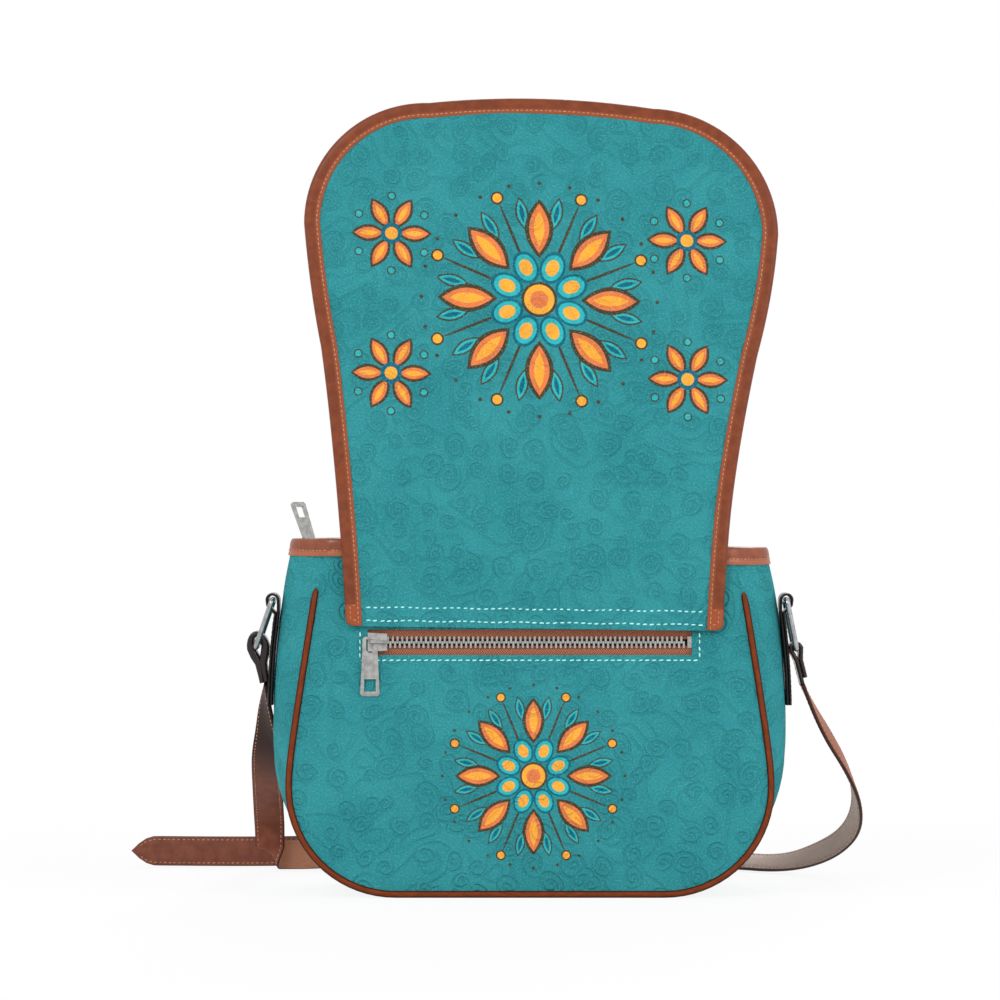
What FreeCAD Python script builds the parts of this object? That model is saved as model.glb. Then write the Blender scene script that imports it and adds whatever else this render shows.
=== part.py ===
import FreeCAD, Part
import math
import os
from types import SimpleNamespace

import Sketcher
from FreeCAD import Placement, Rotation, Vector

# Saddle handbag standing on its base, flap opened upwards.
# Millimetres; origin on the floor under the middle of the base, +Z up.
# The panel with the zipped pocket faces -Y, the panel under the closed flap faces +Y.

SIZES = {
    # Body: two leaning panels joined by a gusset that bulges at the sides
    "body_height": 200.0,
    "base_depth": 90.0,
    "mouth_depth": 48.0,
    "panel_width": 267.0,
    "panel_corner": 58.0,
    "panel_top_width": 229.0,
    "panel_side_bow": 1.0,
    "panel_wall": 2.0,
    "gusset_width": 291.0,
    "gusset_corner": 80.0,
    "gusset_top_width": 270.0,
    "gusset_side_bow": 3.8,
    "gusset_wall": 2.0,
    "base_flat": 0.5,
    "overrun": 5.0,
    "seat_gap": 0.05,
    # Piping round the panels and leather binding on the rim
    "piping_diameter": 4.0,
    "piping_set": 0.3,
    "piping_end_drop": 26.0,
    "rim_sheet": 1.1,
    "rim_height": 9.0,
    "rim_end_gap": 0.15,
    # Lining
    "lining_sheet": 0.8,
    "lining_gap": 0.4,
    "lining_slack": 3.0,
    "lining_front_gap": 1.2,
    "lining_drop": 16.0,
    # Zipped pocket in the back panel
    "flap_zip_drop": 7.5,
    "pocket_window_width": 183.0,
    "pocket_window_height": 14.5,
    "pocket_tape_overlap": 5.0,
    "pouch_side_room": 7.0,
    "pouch_head": 7.0,
    "pouch_drop": 95.0,
    "pouch_depth": 7.0,
    "pouch_sheet": 0.6,
    # Zip of the mouth
    "mouth_zip_set": 13.0,
    "mouth_zip_start": 129.0,
    "mouth_zip_end": 106.0,
    "mouth_tape_end": 131.0,
    "mouth_tape_back_end": 111.0,
    "mouth_tape_end_bow": 3.0,
    "mouth_tape_gap": 0.15,
    # Zip parts that both zips share
    "tape_sheet": 0.6,
    "tape_gap": 0.1,
    "tooth_pitch": 2.67,
    "tooth_length": 1.15,
    "tooth_reach": 0.6,
    "tooth_height": 2.4,
    "bead_start": 1.9,
    "bead_width": 1.4,
    "bead_height": 1.4,
    "stop_length": 2.4,
    "stop_height": 2.0,
    "slider_length": 11.0,
    "slider_nose_width": 10.8,
    "slider_tail_width": 9.6,
    "slider_plate": 1.2,
    "slider_channel_height": 2.8,
    "slider_channel_width": 7.2,
    "slider_tape_slot": 1.0,
    "wedge_length": 3.6,
    "wedge_width": 3.0,
    "arch_length": 9.6,
    "arch_clear": 3.2,
    "arch_bar": 1.4,
    "arch_width": 1.8,
    "puller_length": 32.0,
    "puller_eye_width": 8.6,
    "puller_end_width": 11.0,
    "puller_sheet": 1.7,
    "puller_corner": 1.2,
    "puller_eye_rim": 1.5,
    "puller_slot_width": 4.3,
    "puller_slot_length": 7.5,
    "puller_window_width": 6.6,
    "puller_window_length": 7.0,
    "puller_window_margin": 2.6,
    "puller_seat": 0.25,
    "mouth_puller_lean": 24.0,
    "mouth_puller_turn": 50.0,
    # Flap, in three lengths between its two folds
    "flap_clearance": 0.3,
    "flap_sheet": 1.6,
    "flap_lining_sheet": 0.9,
    "flap_binding_sheet": 0.9,
    "flap_binding_width": 9.0,
    "flap_base_drop": 49.0,
    "flap_base_inset": 8.4,
    "flap_shoulder_rise": 157.7,
    "flap_shoulder_width": 247.2,
    "flap_waist_bow": 2.7,
    "flap_width": 269.6,
    "flap_corner_rise": 228.0,
    "flap_corner": 71.0,
    "flap_shoulder_bow": 1.4,
    "flap_crown": 4.1,
    "flap_seam_height": 38.0,
    "fold_clearance": 0.7,
    "flap_front_gap": 3.4,
    # Magnetic snap between flap and front panel
    "snap_drop": 148.0,
    "snap_radius": 9.0,
    "snap_edge": 0.6,
    "snap_socket_height": 2.2,
    "snap_hole_radius": 3.0,
    "snap_hole_depth": 2.0,
    "snap_stud_base": 1.6,
    "snap_stud_radius": 2.4,
    "snap_stud_height": 1.6,
    "washer_radius": 8.0,
    "washer_hole": 3.0,
    "washer_sheet": 0.6,
    # Side tabs and the rings that hang in them
    "tab_width": 18.0,
    "tab_sheet": 1.6,
    "tab_foot_height": 106.0,
    "tab_eye_height": 166.0,
    "tab_neck_drop": 8.0,
    "tab_eye_radius": 2.4,
    "tab_gap": 0.3,
    "ring_wire": 3.0,
    "ring_height": 28.5,
    "ring_width": 24.0,
    "ring_corner": 2.6,
    "left_ring_tilt": 19.0,
    "right_ring_tilt": 11.0,
    # Strap, buckle and keeper
    "strap_width": 18.0,
    "strap_sheet": 2.4,
    "strap_loop_gap": 0.25,
    "strap_leg": 20.0,
    "strap_tail": 17.0,
    "left_leg_lean": -10.0,
    "right_leg_lean": 14.0,
    "strap_fold_radius": 3.0,
    "strap_tip": 14.0,
    "strap_hole": 3.8,
    "strap_hole_pitch": 25.0,
    "strap_slot_length": 10.4,
    "strap_slot_height": 3.0,
    "strap_slot_set": 6.5,
    "buckle_wire": 2.6,
    "buckle_length": 18.0,
    "buckle_height": 22.0,
    "buckle_corner": 1.8,
    "buckle_loop_leg": 22.0,
    "buckle_loop_tail": 18.0,
    "prong_wire": 2.0,
    "prong_gap": 0.2,
    "prong_slot": 4.0,
    "prong_overhang": 1.2,
    "keeper_width": 8.0,
    "keeper_sheet": 1.6,
    "keeper_depth": 12.4,
    "keeper_gap": 0.6,
}

doc = FreeCAD.newDocument("SaddleHandbag")
sheet = doc.addObject("Spreadsheet::Sheet", "Sizes")
for row, (alias, value) in enumerate(SIZES.items(), start=1):
    sheet.set(f"A{row}", alias)
    sheet.set(f"B{row}", str(value))
    sheet.setAlias(f"B{row}", alias)
doc.recompute()
s = SimpleNamespace(**{alias: float(sheet.get(alias)) for alias in SIZES})

X_AXIS = Vector(1, 0, 0)
Y_AXIS = Vector(0, 1, 0)
Z_AXIS = Vector(0, 0, 1)
QUARTER_TURN = 90
HALF_TURN = 180
NODES = []


# Helpers for sketches and features

def keep(feature, label):
    """Names a finished sub-part and lists it for export."""
    feature.Label = label
    NODES.append(feature)
    return feature


def new_body(label, placement=Placement()):
    body = doc.addObject("PartDesign::Body", label)
    body.Placement = placement
    return keep(body, label)


def sketch_in(body, role, geometry, across=0, up=0, out=0):
    """Sketch on one of the body's own origin planes, moved within and out of that plane."""
    sketch = body.newObject("Sketcher::SketchObject", body.Name + "_sketch")
    plane = next(f for f in body.Origin.OriginFeatures if f.Role == role)
    sketch.AttachmentSupport = [(plane, "")]
    sketch.MapMode = "FlatFace"
    sketch.AttachmentOffset = Placement(Vector(across, up, out), Rotation())
    sketch.addGeometry(geometry, False)
    return sketch


def rectangle_in(body, role, width, height, across=0, up=0, out=0):
    """Rectangle about the sketch's origin, its sides bound to the sheet."""
    half_width = float(sheet.get(width)) / 2
    half_height = float(sheet.get(height)) / 2
    corners = [(-half_width, -half_height), (half_width, -half_height)]
    corners += [(half_width, half_height), (-half_width, half_height)]
    sketch = sketch_in(body, role, polygon(corners), across, up, out)
    for edge in range(len(corners)):
        sketch.addConstraint(Sketcher.Constraint("Coincident", edge, 2, (edge + 1) % len(corners), 1))
    for edge in (0, 2):
        sketch.addConstraint(Sketcher.Constraint("Horizontal", edge))
    for edge in (1, 3):
        sketch.addConstraint(Sketcher.Constraint("Vertical", edge))
    sketch.addConstraint(Sketcher.Constraint("Symmetric", 0, 1, 2, 1, -1, 1))
    wide = sketch.addConstraint(Sketcher.Constraint("DistanceX", 0, 1, 0, 2, 2 * half_width))
    high = sketch.addConstraint(Sketcher.Constraint("DistanceY", 1, 1, 1, 2, 2 * half_height))
    sketch.setExpression(f"Constraints[{wide}]", f"Sizes.{width}")
    sketch.setExpression(f"Constraints[{high}]", f"Sizes.{height}")
    return sketch


def circle_in(body, role, radius, across=0, up=0, out=0):
    """Circle about the sketch's origin; radius is an expression on the sheet."""
    sketch = sketch_in(body, role, [circle((0, 0), 1)], across, up, out)
    bound = sketch.addConstraint(Sketcher.Constraint("Radius", 0, 1))
    sketch.addConstraint(Sketcher.Constraint("Coincident", 0, 3, -1, 1))
    sketch.setExpression(f"Constraints[{bound}]", radius)
    return sketch


def pad(body, sketch, length, middle=False, back=False):
    feature = body.newObject("PartDesign::Pad", body.Name + "_pad")
    feature.Profile = sketch
    feature.SideType = "Symmetric" if middle else "One side"
    feature.Reversed = back
    feature.setExpression("Length", length)
    return feature


def pocket(body, sketch, length, back=False):
    feature = body.newObject("PartDesign::Pocket", body.Name + "_pocket")
    feature.Profile = sketch
    feature.Reversed = back
    feature.setExpression("Length", length)
    return feature


def pipe(body, profile, spine):
    feature = body.newObject("PartDesign::AdditivePipe", body.Name + "_pipe")
    feature.Profile = profile
    feature.Spine = spine
    return feature


def line(start, end):
    return Part.LineSegment(Vector(*start, 0), Vector(*end, 0))


def arc(start, middle, end):
    return Part.ArcOfCircle(Vector(*start, 0), Vector(*middle, 0), Vector(*end, 0))


def circle(centre, radius):
    return Part.Circle(Vector(*centre, 0), Z_AXIS, radius)


def polygon(points):
    return [line(a, b) for a, b in zip(points, points[1:] + points[:1])]


def flip(point):
    return (-point[0], point[1])


def upright(across, placement):
    """Plane of a section: its x along X, its y up the slope, moved inwards by across."""
    return placement * Placement(Vector(0, across, 0), Rotation(X_AXIS, QUARTER_TURN))


def section(label, geometry, placement):
    sketch = doc.addObject("Sketcher::SketchObject", label)
    sketch.addGeometry(geometry, False)
    sketch.Placement = placement
    return sketch


def loft(label, sections):
    feature = doc.addObject("Part::Loft", label)
    feature.Sections = sections
    feature.Solid = True
    feature.Ruled = False
    return feature


def box(label, length, width, height, placement):
    """Box whose three sides are expressions on the sheet."""
    feature = doc.addObject("Part::Box", label)
    feature.setExpression("Length", length)
    feature.setExpression("Width", width)
    feature.setExpression("Height", height)
    feature.Placement = placement
    return feature


def cut(label, base, tool):
    feature = doc.addObject("Part::Cut", label)
    feature.Base = base
    feature.Tool = tool
    return feature


# Frames of the leaning panels: y = 0 on the outer face, z up the slope

half_base = s.base_depth / 2
half_mouth = s.mouth_depth / 2
lean = math.atan2(half_base - half_mouth, s.body_height)
lean_degrees = math.degrees(lean)
slope_height = s.body_height / math.cos(lean)
back_frame = Placement(Vector(0, -half_base, 0), Rotation(X_AXIS, -lean_degrees))
front_plane = Placement(Vector(0, half_base, 0), Rotation(X_AXIS, lean_degrees))
front_frame = Placement(Vector(), Rotation(Z_AXIS, HALF_TURN)) * back_frame


# Heights that follow the body's height

piping_end_height = s.body_height - s.piping_end_drop
lining_top = s.body_height - s.lining_drop
mouth_zip_level = s.body_height - s.mouth_zip_set
flap_foot = s.body_height - s.flap_base_drop
snap_height = s.body_height - s.snap_drop
flap_shoulder_height = flap_foot + s.flap_shoulder_rise
flap_corner_height = flap_foot + s.flap_corner_rise
pocket_zip_height = flap_foot - s.flap_zip_drop


# Outlines: a flat foot, a round corner and a bowed side up to the rim

def outline(width, corner, bottom, top_width, top, bow):
    return SimpleNamespace(
        half=width / 2, corner=corner, bottom=bottom, half_top=top_width / 2, top=top, bow=bow
    )


def half_width_at(shape, height):
    """Half-width of an outline on its bowed side."""
    start = (shape.half, shape.bottom + shape.corner)
    end = (shape.half_top, shape.top)
    middle = ((start[0] + end[0]) / 2 + shape.bow, (start[1] + end[1]) / 2)
    side = arc(start, middle, end)
    rise = height - side.Center.y
    return side.Center.x + math.sqrt(side.Radius ** 2 - rise ** 2)


def side_points(shape, inset, top):
    """Foot end, corner middle, corner top, side middle and top of the right half."""
    half = shape.half - inset
    radius = shape.corner - inset
    centre = (half - radius, shape.bottom + shape.corner)
    diagonal = radius * math.sqrt(0.5)
    middle_height = (centre[1] + top) / 2
    return [
        (centre[0], centre[1] - radius),
        (centre[0] + diagonal, centre[1] - diagonal),
        (half, centre[1]),
        (half_width_at(shape, middle_height) - inset, middle_height),
        (half_width_at(shape, top) - inset, top),
    ]


def u_edges(shape, inset, top):
    foot, corner, high, side, rim = side_points(shape, inset, top)
    return [
        arc(flip(rim), flip(side), flip(high)),
        arc(flip(high), flip(corner), flip(foot)),
        line(flip(foot), foot),
        arc(foot, corner, high),
        arc(high, side, rim),
    ]


def closed_outline(shape, inset, top):
    rim = side_points(shape, inset, top)[-1]
    return u_edges(shape, inset, top) + [line(rim, flip(rim))]


def band_outline(shape, inset, wall, top):
    """Closed U-shaped band between two insets of an outline."""
    outer = side_points(shape, inset, top)[-1]
    inner = side_points(shape, inset + wall, top)[-1]
    joints = [line(outer, inner), line(flip(outer), flip(inner))]
    inner_edges = u_edges(shape, inset + wall, top)
    return u_edges(shape, inset, top) + [joints[0]] + inner_edges + [joints[1]]


piping_offset = s.piping_diameter / 2 + s.seat_gap
panel_bottom = s.piping_diameter + 2 * s.seat_gap
panel_shape = outline(
    s.panel_width, s.panel_corner, panel_bottom, s.panel_top_width, slope_height, s.panel_side_bow
)
gusset_shape = outline(
    s.gusset_width, s.gusset_corner, -s.base_flat, s.gusset_top_width, s.body_height, s.gusset_side_bow
)


# Gusset and panels

def make_gusset():
    edge_band = band_outline(panel_shape, 0, s.gusset_wall, slope_height)
    middle_band = band_outline(gusset_shape, 0, s.gusset_wall, s.body_height)
    back = section("gusset_back", edge_band, upright(s.panel_wall, back_frame))
    middle = section("gusset_middle", middle_band, upright(0, Placement()))
    front = section("gusset_front", edge_band, upright(-s.panel_wall, front_plane))
    strip = loft("gusset_strip", [back, middle, front])
    corner = Placement(Vector(-s.gusset_width / 2, -half_base, -s.overrun), Rotation())
    floor = box("gusset_floor", "Sizes.gusset_width", "Sizes.base_depth", "Sizes.overrun", corner)
    keep(cut("gusset", strip, floor), "gusset")


def make_panel(label, frame, with_pocket):
    body = new_body(label, frame)
    plate = sketch_in(body, "XZ_Plane", closed_outline(panel_shape, 0, slope_height))
    pad(body, plate, "Sizes.panel_wall", back=True)
    if with_pocket:
        window = rectangle_in(
            body, "XZ_Plane", "pocket_window_width", "pocket_window_height", up=pocket_zip_height
        )
        pocket(body, window, "Sizes.panel_wall")


def make_piping(label, frame):
    """Bead that lies along the panel's edge from side to side."""
    body = new_body(label, frame)
    foot, corner, high, side, end = side_points(panel_shape, -piping_offset, piping_end_height)
    path = u_edges(panel_shape, -piping_offset, piping_end_height)
    spine = sketch_in(body, "XZ_Plane", path, out=-s.piping_set)
    profile = circle_in(
        body, "XY_Plane", "Sizes.piping_diameter / 2", across=-end[0], up=s.piping_set, out=end[1]
    )
    pipe(body, profile, spine)


def make_rim_binding(label, frame):
    """Folded strip over a panel's top edge; its inner wall stops short of the corner pieces."""
    body = new_body(label, frame)
    low = slope_height - s.rim_height
    under = slope_height + s.seat_gap
    over = under + s.rim_sheet
    outside = s.seat_gap + s.rim_sheet
    inside = s.panel_wall + s.seat_gap
    outer_profile = [
        (-outside, low), (-s.seat_gap, low), (-s.seat_gap, under),
        (s.panel_wall, under), (s.panel_wall, over), (-outside, over),
    ]
    inner_profile = [
        (s.panel_wall, under), (inside, under), (inside, low),
        (inside + s.rim_sheet, low), (inside + s.rim_sheet, over), (s.panel_wall, over),
    ]
    pad(body, sketch_in(body, "YZ_Plane", polygon(outer_profile)), "Sizes.panel_top_width", middle=True)
    corner_room = "Sizes.gusset_wall + Sizes.rim_sheet + 2 * Sizes.rim_end_gap"
    pad(
        body, sketch_in(body, "YZ_Plane", polygon(inner_profile)),
        f"Sizes.panel_top_width - 2 * ({corner_room})", middle=True,
    )


def rim_channel(shape, top, side):
    """Section of the folded strip over the gusset's top edge; side is 1 or -1."""
    low = top - s.rim_height
    under = top + s.seat_gap
    gap = s.rim_end_gap
    outer = gap + s.rim_sheet
    top_edge = half_width_at(shape, top)
    low_edge = half_width_at(shape, low)
    points = [
        (low_edge + outer, low),
        (top_edge + outer, under + s.rim_sheet),
        (top_edge - s.gusset_wall - outer, under + s.rim_sheet),
        (low_edge - s.gusset_wall - outer, low),
        (low_edge - s.gusset_wall - gap, low),
        (top_edge - s.gusset_wall - gap, under),
        (top_edge + gap, under),
        (low_edge + gap, low),
    ]
    return polygon([(side * x, z) for x, z in points])


def make_rim_end(label, side):
    edge_channel = rim_channel(panel_shape, slope_height, side)
    middle_channel = rim_channel(gusset_shape, s.body_height, side)
    sections = [
        section(label + "_back", edge_channel, upright(s.panel_wall, back_frame)),
        section(label + "_middle", middle_channel, upright(0, Placement())),
        section(label + "_front", edge_channel, upright(-s.panel_wall, front_plane)),
    ]
    keep(loft(label, sections), label)


# Lining and pocket bag

lining_inset = s.gusset_wall + s.lining_gap
zip_plane = s.panel_wall + s.tape_gap + s.tape_sheet / 2
pouch_front = s.panel_wall + 2 * s.tape_gap + s.tape_sheet
lining_back_set = pouch_front + s.pouch_depth + s.lining_gap
lining_front_set = s.panel_wall + s.lining_front_gap


def make_lining():
    top = lining_top / math.cos(lean)
    for label, frame, depth in (
        ("lining_back", back_frame, lining_back_set),
        ("lining_front", front_frame, lining_front_set),
    ):
        body = new_body(label, frame)
        plate = sketch_in(body, "XZ_Plane", closed_outline(panel_shape, lining_inset, top), out=-depth)
        pad(body, plate, "Sizes.lining_sheet", back=True)
    back_set = lining_back_set + s.lining_sheet
    front_set = lining_front_set + s.lining_sheet
    sections = [
        section(
            "lining_band_back",
            band_outline(panel_shape, lining_inset, s.lining_sheet, top), upright(back_set, back_frame),
        ),
        section(
            "lining_band_middle",
            band_outline(gusset_shape, lining_inset + s.lining_slack, s.lining_sheet, lining_top),
            upright(0, Placement()),
        ),
        section(
            "lining_band_front",
            band_outline(panel_shape, lining_inset, s.lining_sheet, top), upright(-front_set, front_plane),
        ),
    ]
    keep(loft("lining_gusset", sections), "lining_gusset")


def make_pouch():
    """Flat pocket bag behind the zip window, open towards the window."""
    window_low = pocket_zip_height - s.pocket_window_height / 2
    left = -s.pocket_window_width / 2 - s.pouch_side_room
    low = window_low - s.pouch_drop
    width = "Sizes.pocket_window_width + 2 * Sizes.pouch_side_room"
    height = "Sizes.pouch_drop + Sizes.pocket_window_height + Sizes.pouch_head"
    wall = s.pouch_sheet
    outer_corner = Vector(left, pouch_front, low)
    inner_corner = outer_corner + Vector(wall, wall, wall)
    outer = box("pouch_outer", width, "Sizes.pouch_depth", height, Placement(outer_corner, Rotation()))
    inner = box(
        "pouch_inner", f"{width} - 2 * Sizes.pouch_sheet", "Sizes.pouch_depth - 2 * Sizes.pouch_sheet",
        f"{height} - 2 * Sizes.pouch_sheet", Placement(inner_corner, Rotation()),
    )
    slot_corner = Vector(-s.pocket_window_width / 2, pouch_front - s.overrun, window_low)
    slot = box(
        "pouch_slot", "Sizes.pocket_window_width", "Sizes.overrun + 2 * Sizes.pouch_sheet",
        "Sizes.pocket_window_height", Placement(slot_corner, Rotation()),
    )
    bag = cut("pocket_bag", cut("pouch_hollow", outer, inner), slot)
    bag.Placement = back_frame
    keep(bag, "pocket_bag")


# Zips: x along the chain, y across it, z out of the tape

chain_edge = s.bead_start + s.bead_width
TOOTH_SHIFT_SHARE = 0.5


def make_chain(label, start, end, side, shift, placement):
    """Toothed edge of one tape with its end stop; side is 1 or -1, shift in tooth pitches."""
    body = new_body(label, placement)
    near = side * s.bead_start
    far = side * chain_edge
    bead = polygon([(start, near), (end, near), (end, far), (start, far)])
    pad(body, sketch_in(body, "XY_Plane", bead), "Sizes.bead_height", middle=True)
    stop_start = end - s.stop_length
    stop = polygon([(stop_start, 0), (end, 0), (end, far), (stop_start, far)])
    pad(body, sketch_in(body, "XY_Plane", stop), "Sizes.stop_height", middle=True)
    first = start + s.slider_length / 2 + shift * s.tooth_pitch
    reach = -side * s.tooth_reach
    tooth_end = first + s.tooth_length
    tooth = polygon([(first, reach), (tooth_end, reach), (tooth_end, far), (first, far)])
    tooth_sketch = sketch_in(body, "XY_Plane", tooth)
    tooth_pad = pad(body, tooth_sketch, "Sizes.tooth_height", middle=True)
    count = int((stop_start - s.tooth_pitch - first) / s.tooth_pitch) + 1
    row = body.newObject("PartDesign::LinearPattern", label + "_row")
    row.Originals = [tooth_pad]
    row.Direction = (tooth_sketch, ["H_Axis"])
    row.Mode = "Spacing"
    row.Occurrences = count
    row.setExpression("Offset", "Sizes.tooth_pitch")
    body.Tip = row


def make_slider(label, placement):
    """Two plates held apart by a wedge at the nose, with an arch for the puller."""
    body = new_body(label, placement)
    nose = -s.slider_length / 2
    tail = s.slider_length / 2
    half_nose = s.slider_nose_width / 2
    half_tail = s.slider_tail_width / 2
    half_channel = s.slider_channel_width / 2
    half_height = s.slider_channel_height / 2
    plan = [(nose, -half_nose), (tail, -half_tail), (tail, half_tail), (nose, half_nose)]
    wedge = [(nose, -s.wedge_width / 2), (nose + s.wedge_length, 0), (nose, s.wedge_width / 2)]
    pad(body, sketch_in(body, "XY_Plane", polygon(plan), out=half_height), "Sizes.slider_plate")
    pad(body, sketch_in(body, "XY_Plane", polygon(wedge)), "Sizes.slider_channel_height", middle=True)
    pad(body, sketch_in(body, "XY_Plane", polygon(plan), out=-half_height), "Sizes.slider_plate", back=True)
    flange_height = "(Sizes.slider_channel_height - Sizes.slider_tape_slot) / 2"
    for side in (1, -1):
        inner = side * half_channel
        flange = [(nose, inner), (tail, inner), (tail, side * half_tail), (nose, side * half_nose)]
        pad(body, sketch_in(body, "XY_Plane", polygon(flange), out=half_height), flange_height, back=True)
        pad(body, sketch_in(body, "XY_Plane", polygon(flange), out=-half_height), flange_height)
    low = half_height + s.slider_plate
    high = low + s.arch_clear
    half_arch = s.arch_length / 2
    arch = [
        (-half_arch, low), (-half_arch, high), (-half_arch + s.arch_bar, high + s.arch_bar),
        (half_arch - s.arch_bar, high + s.arch_bar), (half_arch, high), (half_arch, low),
        (half_arch - s.arch_bar, low), (half_arch - s.arch_bar, high),
        (-half_arch + s.arch_bar, high), (-half_arch + s.arch_bar, low),
    ]
    pad(body, sketch_in(body, "XZ_Plane", polygon(arch)), "Sizes.arch_width", middle=True)


def make_puller(label, placement):
    """Flat puller that hangs towards -y from the top of its slot, with a square window at its end."""
    body = new_body(label, placement)
    half_eye = s.puller_eye_width / 2
    half_end = s.puller_end_width / 2
    half_slot = s.puller_slot_width / 2
    slot_top = math.hypot(s.arch_bar, s.arch_width) / 2 + s.puller_seat
    eye_top = slot_top + s.puller_eye_rim
    slot_low = slot_top - s.puller_slot_length
    end = slot_top - s.puller_length
    cut_corner = s.puller_corner
    edge = [
        (-half_end + cut_corner, end), (half_end - cut_corner, end), (half_end, end + cut_corner),
        (half_eye, slot_low), (half_eye, eye_top - cut_corner), (half_eye - cut_corner, eye_top),
        (-half_eye + cut_corner, eye_top), (-half_eye, eye_top - cut_corner),
        (-half_eye, slot_low), (-half_end, end + cut_corner),
    ]
    pad(body, sketch_in(body, "XY_Plane", polygon(edge)), "Sizes.puller_sheet", middle=True)
    low_centre = slot_low + half_slot
    slot = [
        line((half_slot, low_centre), (half_slot, slot_top)),
        line((half_slot, slot_top), (-half_slot, slot_top)),
        line((-half_slot, slot_top), (-half_slot, low_centre)),
        arc((-half_slot, low_centre), (0, slot_low), (half_slot, low_centre)),
    ]
    half_sheet = s.puller_sheet / 2
    pocket(body, sketch_in(body, "XY_Plane", slot, out=half_sheet), "Sizes.puller_sheet")
    window_height = end + s.puller_window_margin + s.puller_window_length / 2
    window = rectangle_in(
        body, "XY_Plane", "puller_window_width", "puller_window_length", up=window_height, out=half_sheet
    )
    pocket(body, window, "Sizes.puller_sheet")


arch_middle = s.slider_channel_height / 2 + s.slider_plate + s.arch_clear + s.arch_bar / 2


def make_pocket_zip():
    """Zip behind the window of the back panel, slider at its left end and puller hanging."""
    turned = Rotation(X_AXIS, QUARTER_TURN)
    chain_place = back_frame * Placement(Vector(0, zip_plane, pocket_zip_height), turned)
    half_window = s.pocket_window_width / 2
    start = -half_window + s.tape_gap
    end = half_window - s.tape_gap
    make_chain("pocket_zip_chain_upper", start, end, 1, 0, chain_place)
    make_chain("pocket_zip_chain_lower", start, end, -1, TOOTH_SHIFT_SHARE, chain_place)
    tape_end = half_window + s.pocket_tape_overlap
    tape_far = s.pocket_window_height / 2 + s.pocket_tape_overlap
    for label, side in (("pocket_zip_tape_upper", 1), ("pocket_zip_tape_lower", -1)):
        body = new_body(label, chain_place)
        near = side * (chain_edge + s.seat_gap)
        far = side * tape_far
        strip = polygon([(-tape_end, near), (tape_end, near), (tape_end, far), (-tape_end, far)])
        pad(body, sketch_in(body, "XY_Plane", strip), "Sizes.tape_sheet", middle=True)
    slider_at = start + s.slider_length / 2
    make_slider("pocket_zip_slider", chain_place * Placement(Vector(slider_at, 0, 0), Rotation()))
    post_at = slider_at - s.arch_length / 2 + s.arch_bar / 2
    plate_level = s.slider_channel_height / 2 + s.slider_plate + s.puller_seat + s.puller_sheet / 2
    make_puller("pocket_zip_puller", chain_place * Placement(Vector(post_at, 0, plate_level), Rotation()))


def make_mouth_zip():
    """Zip across the mouth, set below the rim, slider at its left end and puller standing."""
    chain_place = Placement(Vector(0, 0, mouth_zip_level), Rotation())
    start = -s.mouth_zip_start
    make_chain("mouth_zip_chain_back", start, s.mouth_zip_end, -1, 0, chain_place)
    make_chain("mouth_zip_chain_front", start, s.mouth_zip_end, 1, TOOTH_SHIFT_SHARE, chain_place)
    near = chain_edge + s.seat_gap
    wall = half_base - mouth_zip_level * math.tan(lean) - s.panel_wall / math.cos(lean)
    far = wall - s.mouth_tape_gap - s.tape_sheet * math.tan(lean)
    between = ((s.mouth_tape_end + s.mouth_tape_back_end) / 2 + s.mouth_tape_end_bow, (near + far) / 2)
    for label, side in (("mouth_zip_tape_back", -1), ("mouth_zip_tape_front", 1)):
        body = new_body(label, chain_place)
        inner = (s.mouth_tape_end, side * near)
        bowed = (between[0], side * between[1])
        outer = (s.mouth_tape_back_end, side * far)
        strip = [
            line(flip(inner), inner),
            arc(inner, bowed, outer),
            line(outer, flip(outer)),
            arc(flip(outer), flip(bowed), flip(inner)),
        ]
        pad(body, sketch_in(body, "XY_Plane", strip), "Sizes.tape_sheet", middle=True)
    slider_at = start + s.slider_length / 2
    make_slider("mouth_zip_slider", chain_place * Placement(Vector(slider_at, 0, 0), Rotation()))
    standing = Rotation(Z_AXIS, s.mouth_puller_turn) * Rotation(X_AXIS, -QUARTER_TURN - s.mouth_puller_lean)
    pivot = Vector(slider_at, 0, arch_middle)
    make_puller("mouth_zip_puller", chain_place * Placement(pivot, standing))


# Flap: the outline in the back panel's plane, cut at the two folds

flap_set = s.seat_gap + s.rim_sheet + s.flap_clearance
lining_set = flap_set + s.flap_binding_sheet
sheet_set = lining_set + s.flap_lining_sheet
fold_one = slope_height + s.seat_gap + s.rim_sheet + s.fold_clearance
fold_one_at = back_frame.multVec(Vector(0, -flap_set, fold_one))
front_wall = half_base - fold_one_at.z * math.tan(lean)
bridge_length = front_wall + s.flap_front_gap / math.cos(lean) - fold_one_at.y
fold_two = fold_one + bridge_length
flap_base_half = s.panel_top_width / 2 - s.flap_base_inset
flap_waist_half = (flap_base_half + s.flap_shoulder_width / 2) / 2 - s.flap_waist_bow
flap_waist = arc(
    (flap_base_half, flap_foot),
    (flap_waist_half, (flap_foot + flap_shoulder_height) / 2),
    (s.flap_shoulder_width / 2, flap_shoulder_height),
)


def flap_half_at(height):
    """Half-width of the flap between its foot and its shoulder."""
    rise = height - flap_waist.Center.y
    return flap_waist.Center.x - math.sqrt(flap_waist.Radius ** 2 - rise ** 2)


def flap_side_strip(low, high, inset_out, inset_in):
    """Right-hand strip of a straight length of the flap, between two insets of its side."""
    low_half = flap_half_at(low)
    high_half = flap_half_at(high)
    return [
        (low_half - inset_in, low), (low_half - inset_out, low),
        (high_half - inset_out, high), (high_half - inset_in, high),
    ]


def flap_length(low, high, inset):
    low_half = flap_half_at(low) - inset
    high_half = flap_half_at(high) - inset
    return polygon([(-low_half, low), (low_half, low), (high_half, high), (-high_half, high)])


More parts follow.
